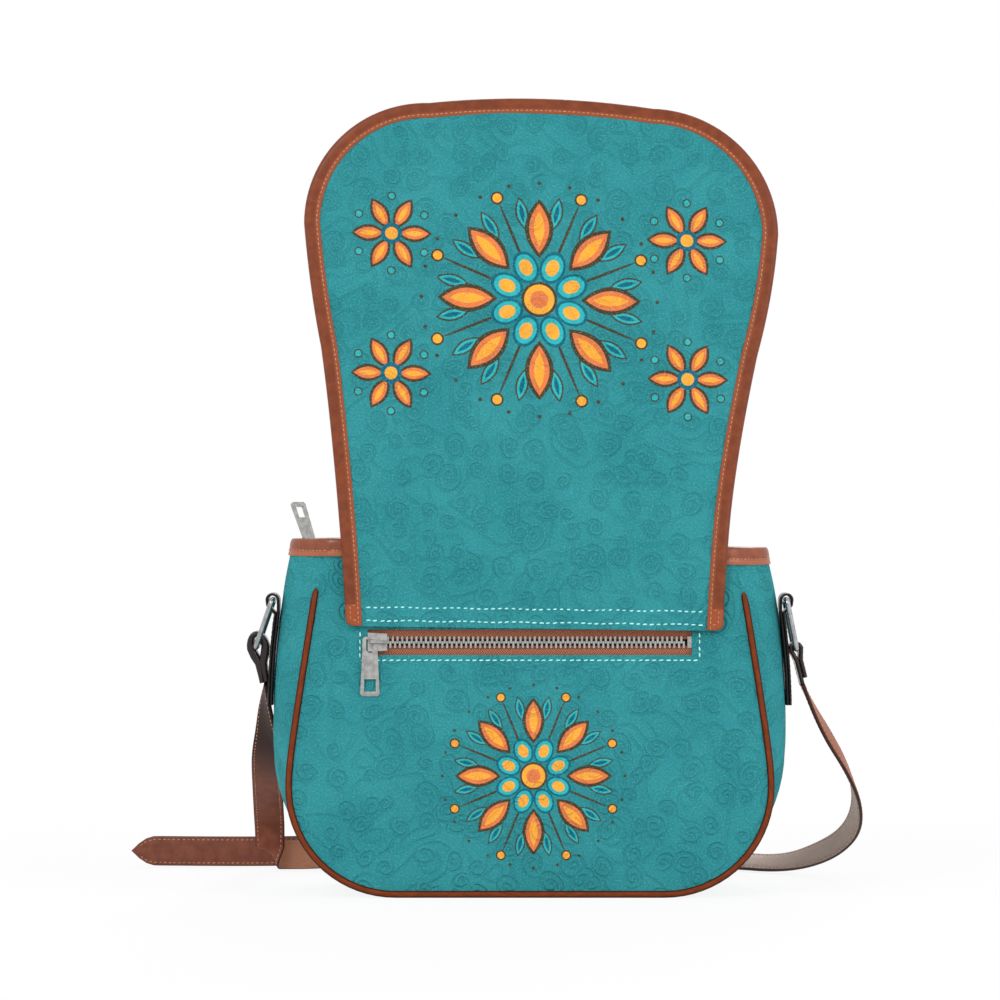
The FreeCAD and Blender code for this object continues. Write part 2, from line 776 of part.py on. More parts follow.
def flap_tip_edges(inset):
    """Edge of the flap's long end, from its left side over the tip to its right side."""
    half = s.flap_width / 2 - inset
    radius = s.flap_corner - inset
    centre = (half - radius, flap_corner_height)
    diagonal = radius * math.sqrt(0.5)
    corner_top = (centre[0], centre[1] + radius)
    tip = (0, corner_top[1] + s.flap_crown)
    corner_side = (half, centre[1])
    shoulder = (s.flap_shoulder_width / 2 - inset, flap_shoulder_height)
    bow = (
        (corner_side[0] + shoulder[0]) / 2 + s.flap_shoulder_bow, (corner_side[1] + shoulder[1]) / 2
    )
    waist_height = (fold_two + flap_shoulder_height) / 2
    waist = (flap_half_at(waist_height) - inset, waist_height)
    start = (flap_half_at(fold_two) - inset, fold_two)
    corner = (centre[0] + diagonal, centre[1] + diagonal)
    side_arcs = [(start, waist, shoulder), (shoulder, bow, corner_side), (corner_side, corner, corner_top)]
    right = [arc(*points) for points in side_arcs]
    left = [arc(*map(flip, points)) for points in side_arcs]
    return left + [arc(flip(corner_top), tip, corner_top)] + right[::-1]


def flap_tip_outline(inset):
    start = flap_half_at(fold_two) - inset
    return flap_tip_edges(inset) + [line((start, fold_two), (-start, fold_two))]


def flap_tip_band(inset_out, inset_in):
    outer = flap_half_at(fold_two) - inset_out
    inner = flap_half_at(fold_two) - inset_in
    ends = [line((outer, fold_two), (inner, fold_two)), line((-outer, fold_two), (-inner, fold_two))]
    return flap_tip_edges(inset_out) + [ends[0]] + flap_tip_edges(inset_in) + [ends[1]]


flap_edge = s.flap_binding_sheet + s.seat_gap


def make_flap_sheets(name, geometry):
    body = new_body(f"flap_{name}_panel", back_frame)
    pad(body, sketch_in(body, "XZ_Plane", geometry, out=sheet_set), "Sizes.flap_sheet")
    body = new_body(f"flap_{name}_lining", back_frame)
    pad(body, sketch_in(body, "XZ_Plane", geometry, out=lining_set), "Sizes.flap_lining_sheet")
    return body


def make_flap_binding(name, strip, slot):
    """Leather folded round the flap's edge; slot is the room of the two sheets inside it."""
    body = new_body(f"flap_{name}_binding", back_frame)
    inside = "Sizes.flap_lining_sheet + Sizes.flap_sheet + 2 * Sizes.seat_gap"
    pad(body, sketch_in(body, "XZ_Plane", strip, out=flap_set), f"2 * Sizes.flap_binding_sheet + {inside}")
    pocket(body, sketch_in(body, "XZ_Plane", slot, out=lining_set - s.seat_gap), inside, back=True)


def make_flap():
    for name, low, high in (("base", flap_foot, fold_one), ("bridge", fold_one, fold_two)):
        lining = make_flap_sheets(name, flap_length(low, high, flap_edge))
        if name == "base":
            seam_inset = s.flap_binding_width + s.flap_clearance
            seam = flap_length(low, low + s.flap_seam_height, seam_inset)
            seam_depth = "Sizes.rim_sheet + Sizes.flap_clearance + Sizes.flap_binding_sheet"
            pad(lining, sketch_in(lining, "XZ_Plane", seam, out=s.seat_gap), seam_depth)
        right = flap_side_strip(low, high, 0, s.flap_binding_width)
        right_slot = flap_side_strip(low, high, flap_edge - s.seat_gap, s.flap_binding_width)
        strips = polygon(right) + polygon([flip(p) for p in right])
        slots = polygon(right_slot) + polygon([flip(p) for p in right_slot])
        make_flap_binding(name, strips, slots)
    make_flap_sheets("front", flap_tip_outline(flap_edge))
    slot = flap_tip_band(s.flap_binding_sheet, s.flap_binding_width)
    make_flap_binding("front", flap_tip_band(0, s.flap_binding_width), slot)


# Magnetic snap: socket on the front panel, stud where it lands on the closed flap

def make_snap():
    face_out = Rotation(X_AXIS, QUARTER_TURN)
    socket_place = front_frame * Placement(Vector(0, -s.seat_gap, snap_height), face_out)
    body = new_body("snap_socket", socket_place)
    top = s.snap_socket_height
    hole_floor = top - s.snap_hole_depth
    profile = [
        (0, 0), (s.snap_radius, 0), (s.snap_radius, top - s.snap_edge), (s.snap_radius - s.snap_edge, top),
        (s.snap_hole_radius, top), (s.snap_hole_radius, hole_floor), (0, hole_floor),
    ]
    revolve(body, profile)
    closed_fold = Vector(0, fold_one_at.y + bridge_length, fold_one_at.z)
    down = Vector(0, math.sin(lean), -math.cos(lean))
    reach = (socket_place.Base - closed_fold).dot(down)
    stud_at = Vector(0, -lining_set + s.seat_gap, fold_two + reach)
    body = new_body("snap_stud", back_frame * Placement(stud_at, Rotation(X_AXIS, -QUARTER_TURN)))
    base = s.snap_stud_base
    stud_top = base + s.snap_stud_height
    profile = [
        (0, 0), (s.snap_radius, 0), (s.snap_radius, base - s.snap_edge), (s.snap_radius - s.snap_edge, base),
        (s.snap_stud_radius, base), (s.snap_stud_radius, stud_top), (0, stud_top),
    ]
    revolve(body, profile)
    washer_place = front_frame * Placement(
        Vector(0, s.panel_wall + s.seat_gap + s.washer_sheet, snap_height), face_out
    )
    body = new_body("snap_washer", washer_place)
    rims = [circle((0, 0), s.washer_radius), circle((0, 0), s.washer_hole)]
    pad(body, sketch_in(body, "XY_Plane", rims), "Sizes.washer_sheet")


def revolve(body, profile):
    sketch = sketch_in(body, "XZ_Plane", polygon(profile))
    feature = body.newObject("PartDesign::Revolution", body.Name + "_turn")
    feature.Profile = sketch
    feature.ReferenceAxis = (sketch, ["V_Axis"])
    feature.Angle = 2 * HALF_TURN


# Tabs, rings and the strap's ends; side is 1 on the right and -1 on the left

tab_out = s.tab_gap + 2 * s.tab_sheet
eye_outer = s.tab_eye_radius + s.tab_sheet
tab_neck_height = s.tab_eye_height - s.tab_neck_drop
eye_across = half_width_at(gusset_shape, tab_neck_height) + s.tab_gap + eye_outer


def make_tab(label, side):
    """Leather strip sewn to the gusset, doubled back through the ring as an eye."""
    body = new_body(label)
    foot = s.tab_foot_height
    neck = tab_neck_height
    middle = (foot + neck) / 2
    inner = [(half_width_at(gusset_shape, z) + s.tab_gap, z) for z in (foot, middle, neck)]
    outer = [(half_width_at(gusset_shape, z) + tab_out, z) for z in (foot, middle, neck)]
    eye_in = (eye_across - eye_outer, s.tab_eye_height)
    eye_top = (eye_across, s.tab_eye_height + eye_outer)
    eye_out = (eye_across + eye_outer, s.tab_eye_height)
    mirror = (lambda p: p) if side > 0 else flip
    edges = [
        arc(*map(mirror, inner)), line(mirror(inner[-1]), mirror(eye_in)),
        arc(mirror(eye_in), mirror(eye_top), mirror(eye_out)), line(mirror(eye_out), mirror(outer[-1])),
        arc(*map(mirror, outer[::-1])), line(mirror(outer[0]), mirror(inner[0])),
    ]
    eye = circle(mirror((eye_across, s.tab_eye_height)), s.tab_eye_radius)
    pad(body, sketch_in(body, "XZ_Plane", edges + [eye]), "Sizes.tab_width", middle=True)


def wire_frame(label, wire, width, height, corner, placement):
    """Rectangular wire loop in the YZ plane, hanging from the middle of its top bar at the origin."""
    body = new_body(label, placement)
    half = width / 2
    diagonal = corner * (1 - math.sqrt(0.5))
    path = [
        line((0, 0), (half - corner, 0)),
        arc((half - corner, 0), (half - diagonal, -diagonal), (half, -corner)),
        line((half, -corner), (half, -height + corner)),
        arc((half, -height + corner), (half - diagonal, -height + diagonal), (half - corner, -height)),
        line((half - corner, -height), (-half + corner, -height)),
        arc((-half + corner, -height), (-half + diagonal, -height + diagonal), (-half, -height + corner)),
        line((-half, -height + corner), (-half, -corner)),
        arc((-half, -corner), (-half + diagonal, -diagonal), (-half + corner, 0)),
        line((-half + corner, 0), (0, 0)),
    ]
    spine = sketch_in(body, "YZ_Plane", path)
    profile = circle_in(body, "XZ_Plane", f"Sizes.{wire} / 2")
    pipe(body, profile, spine)


def ring_place(side):
    tilt = s.right_ring_tilt if side > 0 else s.left_ring_tilt
    return Placement(Vector(side * eye_across, 0, s.tab_eye_height), Rotation(Y_AXIS, -side * tilt))


def strap_loop(label, bar, leg, tail, tail_side, slot, placement):
    """Strap end sewn round a bar at the origin, legs towards -z, the shorter leg on tail_side."""
    body = new_body(label, placement)
    eye = bar / 2 + s.strap_loop_gap
    outer = eye + s.strap_sheet
    drop = -math.sqrt(outer ** 2 - s.strap_sheet ** 2)
    edges = [
        line((-s.strap_sheet, -leg), (-s.strap_sheet, drop)),
        arc((-s.strap_sheet, drop), (0, outer), (s.strap_sheet, drop)),
        line((s.strap_sheet, drop), (s.strap_sheet, -tail)),
        line((s.strap_sheet, -tail), (0, -tail)),
        line((0, -tail), (0, -leg)),
        line((0, -leg), (-s.strap_sheet, -leg)),
    ]
    if tail_side < 0:
        for edge in edges:
            edge.mirror(Vector(), Y_AXIS)
    pad(body, sketch_in(body, "XZ_Plane", edges + [circle((0, 0), eye)]), "Sizes.strap_width", middle=True)
    if slot:
        wide = outer + s.overrun
        slot_low = -(bar / 2 + s.prong_wire + 2 * s.prong_gap)
        opening = polygon([(-wide, slot_low), (wide, slot_low), (wide, wide), (-wide, wide)])
        groove = sketch_in(body, "XZ_Plane", opening)
        feature = pocket(body, groove, "Sizes.prong_slot")
        feature.SideType = "Symmetric"


def loop_place(side):
    """Strap end on a ring's lower bar."""
    bar = ring_place(side).multVec(Vector(0, 0, -s.ring_height))
    leg_lean = s.right_leg_lean if side > 0 else s.left_leg_lean
    return Placement(bar, Rotation(Y_AXIS, -side * leg_lean))


def make_side(name, side):
    make_tab(f"{name}_tab", side)
    wire_frame(f"{name}_ring", "ring_wire", s.ring_width, s.ring_height, s.ring_corner, ring_place(side))
    strap_loop(f"{name}_strap_end", s.ring_wire, s.strap_leg, s.strap_tail, side, False, loop_place(side))


# Strap lengths: ruled ribbons through cross-sections (edge point, edge point, face normal)

def cross_section(centre, along, across):
    """Section square to the strap: across is made square to along."""
    along = Vector(along).normalize()
    across = Vector(across)
    across = (across - along * across.dot(along)).normalize()
    half = across * (s.strap_width / 2)
    return (centre - half, centre + half, along.cross(across))


def route_sections(points):
    """Sections at every point of a route given as (x, y, z) and the width's direction."""
    places = [Vector(*p[0]) for p in points]
    found = []
    for i, (place, across) in enumerate(points):
        before = places[max(i - 1, 0)]
        after = places[min(i + 1, len(points) - 1)]
        found.append(cross_section(places[i], after - before, across))
    return found


def ribbon(sections):
    """Solid of the strap's thickness through the sections."""
    half = s.strap_sheet / 2
    wires = []
    for a, b, normal in sections:
        lift = Vector(normal) * half
        corners = [a - lift, b - lift, b + lift, a + lift]
        wires.append(Part.makePolygon(corners + corners[:1]))
    return Part.makeLoft(wires, True, True)


def feature_of(label, shape):
    feature = doc.addObject("Part::Feature", label)
    feature.Shape = shape
    return keep(feature, label)


def leg_end(side):
    """Last section of a strap end's long leg."""
    place = loop_place(side)
    centre = place.multVec(Vector(-side * s.strap_sheet / 2, 0, -s.strap_leg))
    down = place.Rotation.multVec(Vector(0, 0, -1))
    return cross_section(centre, down, Y_AXIS)


# Routes of the strap as it lies behind the bag: place, then direction of its width
RIGHT_DROP = [
    ((161.5, 2.0, 105.0), (0.08, 0.98, 0.12)),
    ((171.0, 6.0, 88.0), (0.18, 0.94, 0.25)),
    ((181.0, 12.5, 71.0), (0.22, 0.92, 0.32)),
    ((187.5, 23.0, 53.0), (0.25, 0.90, 0.36)),
    ((188.0, 38.0, 37.0), (0.25, 0.86, 0.42)),
    ((181.0, 58.0, 25.0), (0.22, 0.78, 0.55)),
    ((168.0, 82.0, 16.0), (0.18, 0.62, 0.74)),
    ((150.0, 104.0, 11.0), (0.12, 0.40, 0.90)),
    ((128.0, 119.0, 9.6), (0.05, 0.15, 0.99)),
]
RIGHT_RUN = [
    ((104.0, 126.5, 9.4), (0, 0, 1)),
    ((76.0, 129.5, 9.4), (0, 0, 1)),
    ((44.0, 129.0, 9.6), (0, 0, 1)),
    ((12.0, 126.0, 10.6), (0, 0, 1)),
    ((-16.0, 121.6, 12.2), (0, 0, 1)),
    ((-34.0, 120.0, 12.6), (0, 0, 1)),
    ((-43.0, 120.2, 12.6), (0, 0, 1)),
    ((-50.0, 123.5, 12.6), (0, 0, 1)),
    ((-56.0, 128.0, 12.6), (0, 0, 1)),
    ((-64.0, 130.2, 12.6), (0, 0, 1)),
    ((-76.0, 131.2, 12.6), (0, 0, 1)),
    ((-100.0, 133.0, 12.0), (0, 0, 1)),
    ((-130.0, 136.0, 10.4), (0, 0, 1)),
    ((-164.0, 139.6, 9.6), (0, 0, 1)),
    ((-200.0, 143.4, 9.4), (0, 0, 1)),
    ((-227.0, 146.0, 9.4), (0, 0, 1)),
]
LEFT_DROP = [
    ((-152.3, 4.0, 103.0), (-0.15, 0.99, 0.0)),
    ((-152.2, 18.0, 88.0), (-0.62, 0.78, 0.0)),
    ((-153.0, 38.0, 72.0), (-0.82, 0.57, 0.0)),
    ((-153.6, 62.0, 58.0), (-0.94, 0.34, 0.0)),
    ((-154.4, 86.0, 46.0), (-0.99, 0.10, 0.0)),
    ((-155.0, 104.0, 35.0), (-1, 0, 0)),
    ((-155.0, 112.0, 27.0), (-1, 0, 0)),
]
LEFT_FOLD_AT = Vector(-155.0, 115.0, 16.2)
LEFT_RUN = [
    ((-128.0, 121.0, 9.6), (0, 0, 1)),
    ((-108.0, 121.8, 11.4), (0, 0, 1)),
]
BUCKLE_AT = Vector(-61.0, 124.0, 12.6)
FOLD_STEPS = 6


def fold_sections(start):
    """The strap, coming straight down at start, rolls over a slanting line and leaves towards +X."""
    down = Vector(0, 0, -1)
    wide = Vector(-1, 0, 0)
    behind = Y_AXIS
    slant = math.sqrt(0.5)
    travel = (down + wide) * slant
    ruling = (wide - down) * slant
    radius = s.strap_fold_radius
    half = s.strap_width / 2
    found = []
    for step in range(FOLD_STEPS + 1):
        turn = math.pi * step / FOLD_STEPS
        rolled = radius * turn
        shift = travel * (radius * math.sin(turn)) + behind * (radius * (1 - math.cos(turn)))
        normal = behind * math.cos(turn) - travel * math.sin(turn)
        edges = []
        for across in (-half, half):
            along = rolled / slant - across
            edges.append(start + shift + ruling * ((across - along) * slant))
        found.append((edges[0], edges[1], normal * -1))
    return found


def buckle_leg_end(place):
    centre = place.multVec(Vector(-s.strap_sheet / 2, 0, -s.buckle_loop_leg))
    along = place.Rotation.multVec(Vector(0, 0, 1))
    return cross_section(centre, along, Z_AXIS)


def buckle_loop_place():
    """Strap end round the buckle's left bar: legs towards -X, strap width upright."""
    legs_left = Rotation(X_AXIS, QUARTER_TURN) * Rotation(Y_AXIS, QUARTER_TURN)
    return Placement(BUCKLE_AT, legs_left)


def make_left_strap():
    """Short strap: drop, slanting fold on the floor, run to the buckle."""
    drop = route_sections(LEFT_DROP)
    fold = fold_sections(LEFT_FOLD_AT)
    feature_of("left_strap_drop", ribbon([leg_end(-1)] + drop))
    run = route_sections(LEFT_RUN)
    end = buckle_leg_end(buckle_loop_place())
    feature_of("left_strap_run", ribbon([drop[-1]] + fold + run + [end]))
    strap_loop(
        "left_strap_buckle_end", s.buckle_wire, s.buckle_loop_leg, s.buckle_loop_tail, 1, True,
        buckle_loop_place(),
    )


def strap_tip_solid(last):
    """Pointed end of the long strap beyond its last section."""
    a, b, normal = last
    along = (b - a).normalize().cross(normal)
    point = (a + b) * 0.5 + along * s.strap_tip
    lift = normal * (s.strap_sheet / 2)
    face = Part.Face(Part.makePolygon([a - lift, b - lift, point - lift, a - lift]))
    return face.extrude(lift * 2)


def make_right_strap():
    """Long strap: drop, run through the buckle, pointed end; a slot for the prong in its row of holes."""
    drop = route_sections(RIGHT_DROP)
    run = route_sections(RIGHT_RUN)
    feature_of("right_strap_drop", ribbon([leg_end(1)] + drop))
    body = ribbon([drop[-1]] + run).fuse(strap_tip_solid(run[-1])).removeSplitter()
    through = 2 * BUCKLE_AT.y
    slot_middle = BUCKLE_AT.x + s.strap_slot_set
    slot_corner = Vector(slot_middle - s.strap_slot_length / 2, 0, BUCKLE_AT.z - s.strap_slot_height / 2)
    body = body.cut(Part.makeBox(s.strap_slot_length, through, s.strap_slot_height, slot_corner))
    for step in (-2, -1, 1, 2):
        place = Vector(slot_middle + step * s.strap_hole_pitch, 0, BUCKLE_AT.z)
        body = body.cut(Part.makeCylinder(s.strap_hole / 2, through, place, Y_AXIS))
    feature_of("right_strap_run", body)


def make_buckle():
    """Wire frame with a prong round its left bar."""
    upright_bar = Rotation(X_AXIS, QUARTER_TURN) * Rotation(Y_AXIS, -QUARTER_TURN)
    wire_frame(
        "buckle_frame", "buckle_wire", s.buckle_height, s.buckle_length, s.buckle_corner,
        Placement(BUCKLE_AT, upright_bar),
    )
    body = new_body("buckle_prong", Placement(BUCKLE_AT, Rotation()))
    eye = s.buckle_wire / 2 + s.prong_gap
    outer = eye + s.prong_wire
    far = s.buckle_wire / 2 + s.prong_gap
    tip = s.buckle_length + s.buckle_wire / 2 + s.prong_overhang
    low = math.sqrt(outer ** 2 - far ** 2)
    diagonal = outer * math.sqrt(0.5)
    edges = [
        line((low, far), (tip, far)),
        line((tip, far), (tip, outer)),
        line((tip, outer), (0, outer)),
        arc((0, outer), (-diagonal, -diagonal), (low, far)),
    ]
    pad(body, sketch_in(body, "XY_Plane", edges + [circle((0, 0), eye)]), "Sizes.prong_wire", middle=True)


def make_keeper():
    """Leather band round the sewn strap end and the long strap's free end."""
    back = Vector(s.keeper_width / 2 - s.buckle_loop_tail, 0, 0)
    body = new_body("strap_keeper", Placement(BUCKLE_AT + back, Rotation()))
    half_height = s.strap_width / 2 + s.keeper_gap
    near = -s.strap_sheet - s.keeper_gap
    far = near + s.keeper_depth
    inner = [(near, -half_height), (far, -half_height), (far, half_height), (near, half_height)]
    grow = s.keeper_sheet
    outer = [
        (near - grow, -half_height - grow), (far + grow, -half_height - grow),
        (far + grow, half_height + grow), (near - grow, half_height + grow),
    ]
    pad(body, sketch_in(body, "YZ_Plane", polygon(inner) + polygon(outer)), "Sizes.keeper_width", middle=True)


make_gusset()
make_panel("back_panel", back_frame, True)
make_panel("front_panel", front_frame, False)
make_piping("back_piping", back_frame)
make_piping("front_piping", front_frame)
make_rim_binding("rim_binding_back", back_frame)
make_rim_binding("rim_binding_front", front_frame)
make_rim_end("rim_binding_left", -1)
make_rim_end("rim_binding_right", 1)
make_lining()
make_pouch()
make_pocket_zip()
make_mouth_zip()
make_flap()
make_snap()
make_side("left", -1)
make_side("right", 1)
make_left_strap()
make_right_strap()
make_buckle()
make_keeper()
doc.recompute()

# Every object has to have built, and every sub-part has to be a valid solid
for item in doc.Objects:
    if "Invalid" in item.State or "Error" in item.State:
        raise RuntimeError(f"{item.Label} failed: {item.State}")
for node in NODES:
    if node.Shape.isNull() or not node.Shape.isValid() or not node.Shape.Solids:
        raise RuntimeError(f"{node.Label} has no valid solid")

os.makedirs("parts", exist_ok=True)
for node in NODES:
    node.Shape.exportStep(f"parts/{node.Label}.step")
    print(f"{node.Label}: {len(node.Shape.Solids)} solids, {node.Shape.Volume:.1f} mm3")
for name, place in (
    ("fold_one", fold_one_at),
    ("fold_two", back_frame.multVec(Vector(0, -flap_set, fold_two))),
    ("right_eye", ring_place(1).Base),
    ("left_eye", ring_place(-1).Base),
):
    print(f"{name} at {place.x:.3f}, {place.y:.3f}, {place.z:.3f} mm")
print(f"lean {lean_degrees:.3f} degrees, bridge {bridge_length:.3f} mm")
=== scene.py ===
import math
import random
from types import SimpleNamespace

import bmesh
import bpy
from mathutils import Matrix, Vector, noise


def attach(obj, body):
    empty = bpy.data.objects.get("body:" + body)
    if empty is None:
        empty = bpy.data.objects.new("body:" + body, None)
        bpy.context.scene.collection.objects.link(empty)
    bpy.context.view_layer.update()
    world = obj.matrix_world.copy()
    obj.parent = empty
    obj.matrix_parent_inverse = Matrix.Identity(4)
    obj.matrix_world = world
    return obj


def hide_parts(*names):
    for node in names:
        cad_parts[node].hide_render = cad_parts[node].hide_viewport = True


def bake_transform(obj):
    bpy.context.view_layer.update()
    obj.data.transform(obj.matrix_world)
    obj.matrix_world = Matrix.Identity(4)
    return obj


# Saddle handbag standing with its flap opened upwards, its back towards the camera.
# Sizes are millimetres in the frame of the solids; a piece becomes metres when its mesh is made.

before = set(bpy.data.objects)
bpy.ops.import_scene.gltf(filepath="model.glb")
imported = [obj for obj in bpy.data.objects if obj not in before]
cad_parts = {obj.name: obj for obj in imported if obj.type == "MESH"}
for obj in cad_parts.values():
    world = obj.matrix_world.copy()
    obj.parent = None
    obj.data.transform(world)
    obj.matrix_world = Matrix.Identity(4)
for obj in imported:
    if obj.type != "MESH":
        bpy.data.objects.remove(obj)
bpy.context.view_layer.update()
rng = random.Random(11)

MM = 0.001
UP = Vector((0, 0, 1))
BACKWARDS = Vector((0, 1, 0))

# Body
HALF_BASE = 45.0
HALF_MOUTH = 24.0
BODY_HEIGHT = 200.0
LEAN = math.atan2(HALF_BASE - HALF_MOUTH, BODY_HEIGHT)
SIN_LEAN = math.sin(LEAN)
COS_LEAN = math.cos(LEAN)
SLOPE = BODY_HEIGHT / COS_LEAN
WALL = 2.0
PANEL = SimpleNamespace(half=133.5, corner=58.0, bottom=4.1, half_top=114.5, top=SLOPE, bow=0.0, ease=0.12)
GUSSET = SimpleNamespace(
    half=145.5, corner=80.0, bottom=-0.5, half_top=135.0, top=BODY_HEIGHT, bow=3.8, ease=0.02
)
TUCK = 0.7
PANEL_CUT = SimpleNamespace(
    half=PANEL.half + TUCK, corner=PANEL.corner + TUCK, bottom=PANEL.bottom - TUCK,
    half_top=PANEL.half_top, top=PANEL.top, bow=PANEL.bow, ease=PANEL.ease,
)
PIPING = SimpleNamespace(radius=2.0, offset=2.05, sunk=0.3, end=174.0)

# Pocket zip
ZIP = SimpleNamespace(up=143.5, half_width=91.5, half_height=7.25, depth=2.4)

# Flap
FLAP = SimpleNamespace(
    foot=151.0, half_foot=106.1, shoulder=308.7, half_shoulder=123.6, waist_bow=2.7,
    half=134.8, corner_at=379.0, corner=71.0, shoulder_bow=1.4, crown=4.1,
)
FOLD_ONE = 202.95
FOLD_TWO = 255.41
FLAP_SPLIT = (FOLD_ONE + FOLD_TWO) / 2


# Degrees of bend above which an edge shows sharp
SOFT_CREASE = 48
LEATHER_CREASE = 60
THREAD_CREASE = 80
METAL_CREASE = 32


# Mesh helpers

def mix(first, second, share):
    return first + (second - first) * share


def ease(value, low, high):
    """0 at low and 1 at high, with soft ends."""
    share = min(max((value - low) / (high - low), 0.0), 1.0)
    return share * share * (3 - 2 * share)


def bell(value, middle, reach):
    """1 at middle, falling softly to both sides."""
    return math.exp(-((value - middle) / reach) ** 2)


def bowed(height, share):
    """Flat arch of a height over shares 0 to 1."""
    return 4 * height * share * (1 - share)


def spaced(first, last, count):
    """count values from first to last, both included."""
    return [mix(first, last, step / (count - 1)) for step in range(count)]


def piece(name, points, faces, finish, lay, crease=SOFT_CREASE):
    """Smooth mesh with the surface coordinates lay, in millimetres, at its points."""
    mesh = bpy.data.meshes.new(name)
    mesh.from_pydata([point * MM for point in points], [], faces)
    surface = mesh.attributes.new("lay", "FLOAT_VECTOR", "POINT")
    surface.data.foreach_set("vector", [value for place in lay for value in place])
    shape = bmesh.new()
    shape.from_mesh(mesh)
    bmesh.ops.delete(shape, geom=[corner for corner in shape.verts if not corner.link_faces])
    bmesh.ops.recalc_face_normals(shape, faces=shape.faces)
    shape.to_mesh(mesh)
    shape.free()
    mesh.polygons.foreach_set("use_smooth", [True] * len(mesh.polygons))
    mesh.set_sharp_from_angle(angle=math.radians(crease))
    mesh.materials.append(finish)
    made = bpy.data.objects.new(name, mesh)
    bpy.context.scene.collection.objects.link(made)
    return made


def fasten(made, body, *nodes):
    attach(made, body)
    if nodes:
        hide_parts(*nodes)
    return made


def grid_faces(rows, columns, left_out=()):
    faces = []
    for row in range(rows - 1):
        for column in range(columns - 1):
            if (row, column) not in left_out:
                corner = row * columns + column
                faces.append((corner, corner + 1, corner + columns + 1, corner + columns))
    return faces


def thicken(outer, inner, faces):
    """Closes two like sheets with walls along their open edges."""
    count = len(outer)
    edges = {edge for face in faces for edge in zip(face, face[1:] + face[:1])}
    walls = [(b, a, a + count, b + count) for a, b in edges if (b, a) not in edges]
    back = [tuple(corner + count for corner in reversed(face)) for face in faces]
    return outer + inner, faces + back + sorted(walls)


def moved_grid(rows, depth):
    """Points of a grid moved along its own normals."""
    moved = []
    last_row = len(rows) - 1
    for r, row in enumerate(rows):
        last = len(row) - 1
        for c, point in enumerate(row):
            along = row[min(c + 1, last)] - row[max(c - 1, 0)]
            down = rows[min(r + 1, last_row)][c] - rows[max(r - 1, 0)][c]
            moved.append(point + along.cross(down).normalized() * depth)
    return moved


def flat(rows):
    return [item for row in rows for item in row]


def shifted(faces, base):
    """The same faces for corners that are counted from base."""
    return [tuple(base + corner for corner in face) for face in faces]


def sheet(name, rows, depth, lay_rows, finish, left_out=()):
    """Cloth or leather of a given thickness under a grid of surface points."""
    faces = grid_faces(len(rows), len(rows[0]), left_out)
    points, faces = thicken(flat(rows), moved_grid(rows, depth), faces)
    lay = flat(lay_rows)
    return piece(name, points, faces, finish, lay + lay)


def swept(sections, closed=False):
    """Faces of a skin over like closed sections, with caps unless the path is closed."""
    size = len(sections[0])
    count = len(sections)
    faces = []
    for s in range(count if closed else count - 1):
        for p in range(size):
            q = (p + 1) % size
            t = (s + 1) % count
            faces.append((s * size + p, s * size + q, t * size + q, t * size + p))
    if not closed:
        faces.append(tuple(reversed(range(size))))
        faces.append(tuple(range((count - 1) * size, count * size)))
    return faces


def lengths_along(path):
    """Running length at each point of a path."""
    total = 0.0
    found = [total]
    for a, b in zip(path, path[1:]):
        total += (b - a).length
        found.append(total)
    return found


def directions(path, closed=False):
    """Unit direction at each point of a path."""
    count = len(path)
    found = []
    for i in range(count):
        before = path[(i - 1) % count] if closed else path[max(i - 1, 0)]
        after = path[(i + 1) % count] if closed else path[min(i + 1, count - 1)]
        found.append((after - before).normalized())
    return found


LINE_STEPS = 6


def smooth_line(points):
    """Points of the smooth curve that has these control points."""
    curve = bpy.data.curves.new("line", "CURVE")
    curve.dimensions = "3D"
    spline = curve.splines.new("NURBS")
    spline.points.add(len(points) - 1)
    for place, point in zip(spline.points, points):
        place.co = (*point, 1)
    spline.order_u = 3
    spline.use_endpoint_u = True
    spline.resolution_u = LINE_STEPS
    carrier = bpy.data.objects.new("line", curve)
    mesh = bpy.data.meshes.new_from_object(carrier)
    line = [corner.co.copy() for corner in mesh.vertices]
    bpy.data.meshes.remove(mesh)
    bpy.data.objects.remove(carrier)
    bpy.data.curves.remove(curve)
    return line


# Shader helpers

# A screen's curve of brightness: straight below its knee, a power above it
SCREEN = SimpleNamespace(most=255, knee=0.04045, slope=12.92, offset=0.055, power=2.4)


def colour(red, green, blue):
    """Linear colour of 8-bit screen values."""
    linear = []
    for value in (red, green, blue):
        share = value / SCREEN.most
        if share < SCREEN.knee:
            linear.append(share / SCREEN.slope)
        else:
            linear.append(((share + SCREEN.offset) / (1 + SCREEN.offset)) ** SCREEN.power)
    return (*linear, 1.0)


class Shade:
    """A shader value that takes part in Python sums; each sum adds a Math node."""

    def __init__(self, finish, socket):
        self.finish = finish
        self.socket = socket

    def out(self, name):
        return Shade(self.finish, self.socket.node.outputs[name])

    def math(self, operation, other=0.0):
        return self.finish.node("ShaderNodeMath", {"operation": operation}, {0: self, 1: other})

    def __add__(self, other):
        return self.math("ADD", other)

    __radd__ = __add__

    def __sub__(self, other):
        return self.math("SUBTRACT", other)

    def __rsub__(self, other):
        return self * -1 + other

    def __mul__(self, other):
        return self.math("MULTIPLY", other)

    __rmul__ = __mul__

    def __truediv__(self, other):
        return self.math("DIVIDE", other)

    def __rtruediv__(self, other):
        return self ** -1 * other

    def __pow__(self, other):
        return self.math("POWER", other)

    def __abs__(self):
        return self.math("ABSOLUTE")

    def saw(self):
        """0 halfway between whole numbers and 0.5 at them."""
        return abs(self.math("FRACT") - 0.5)


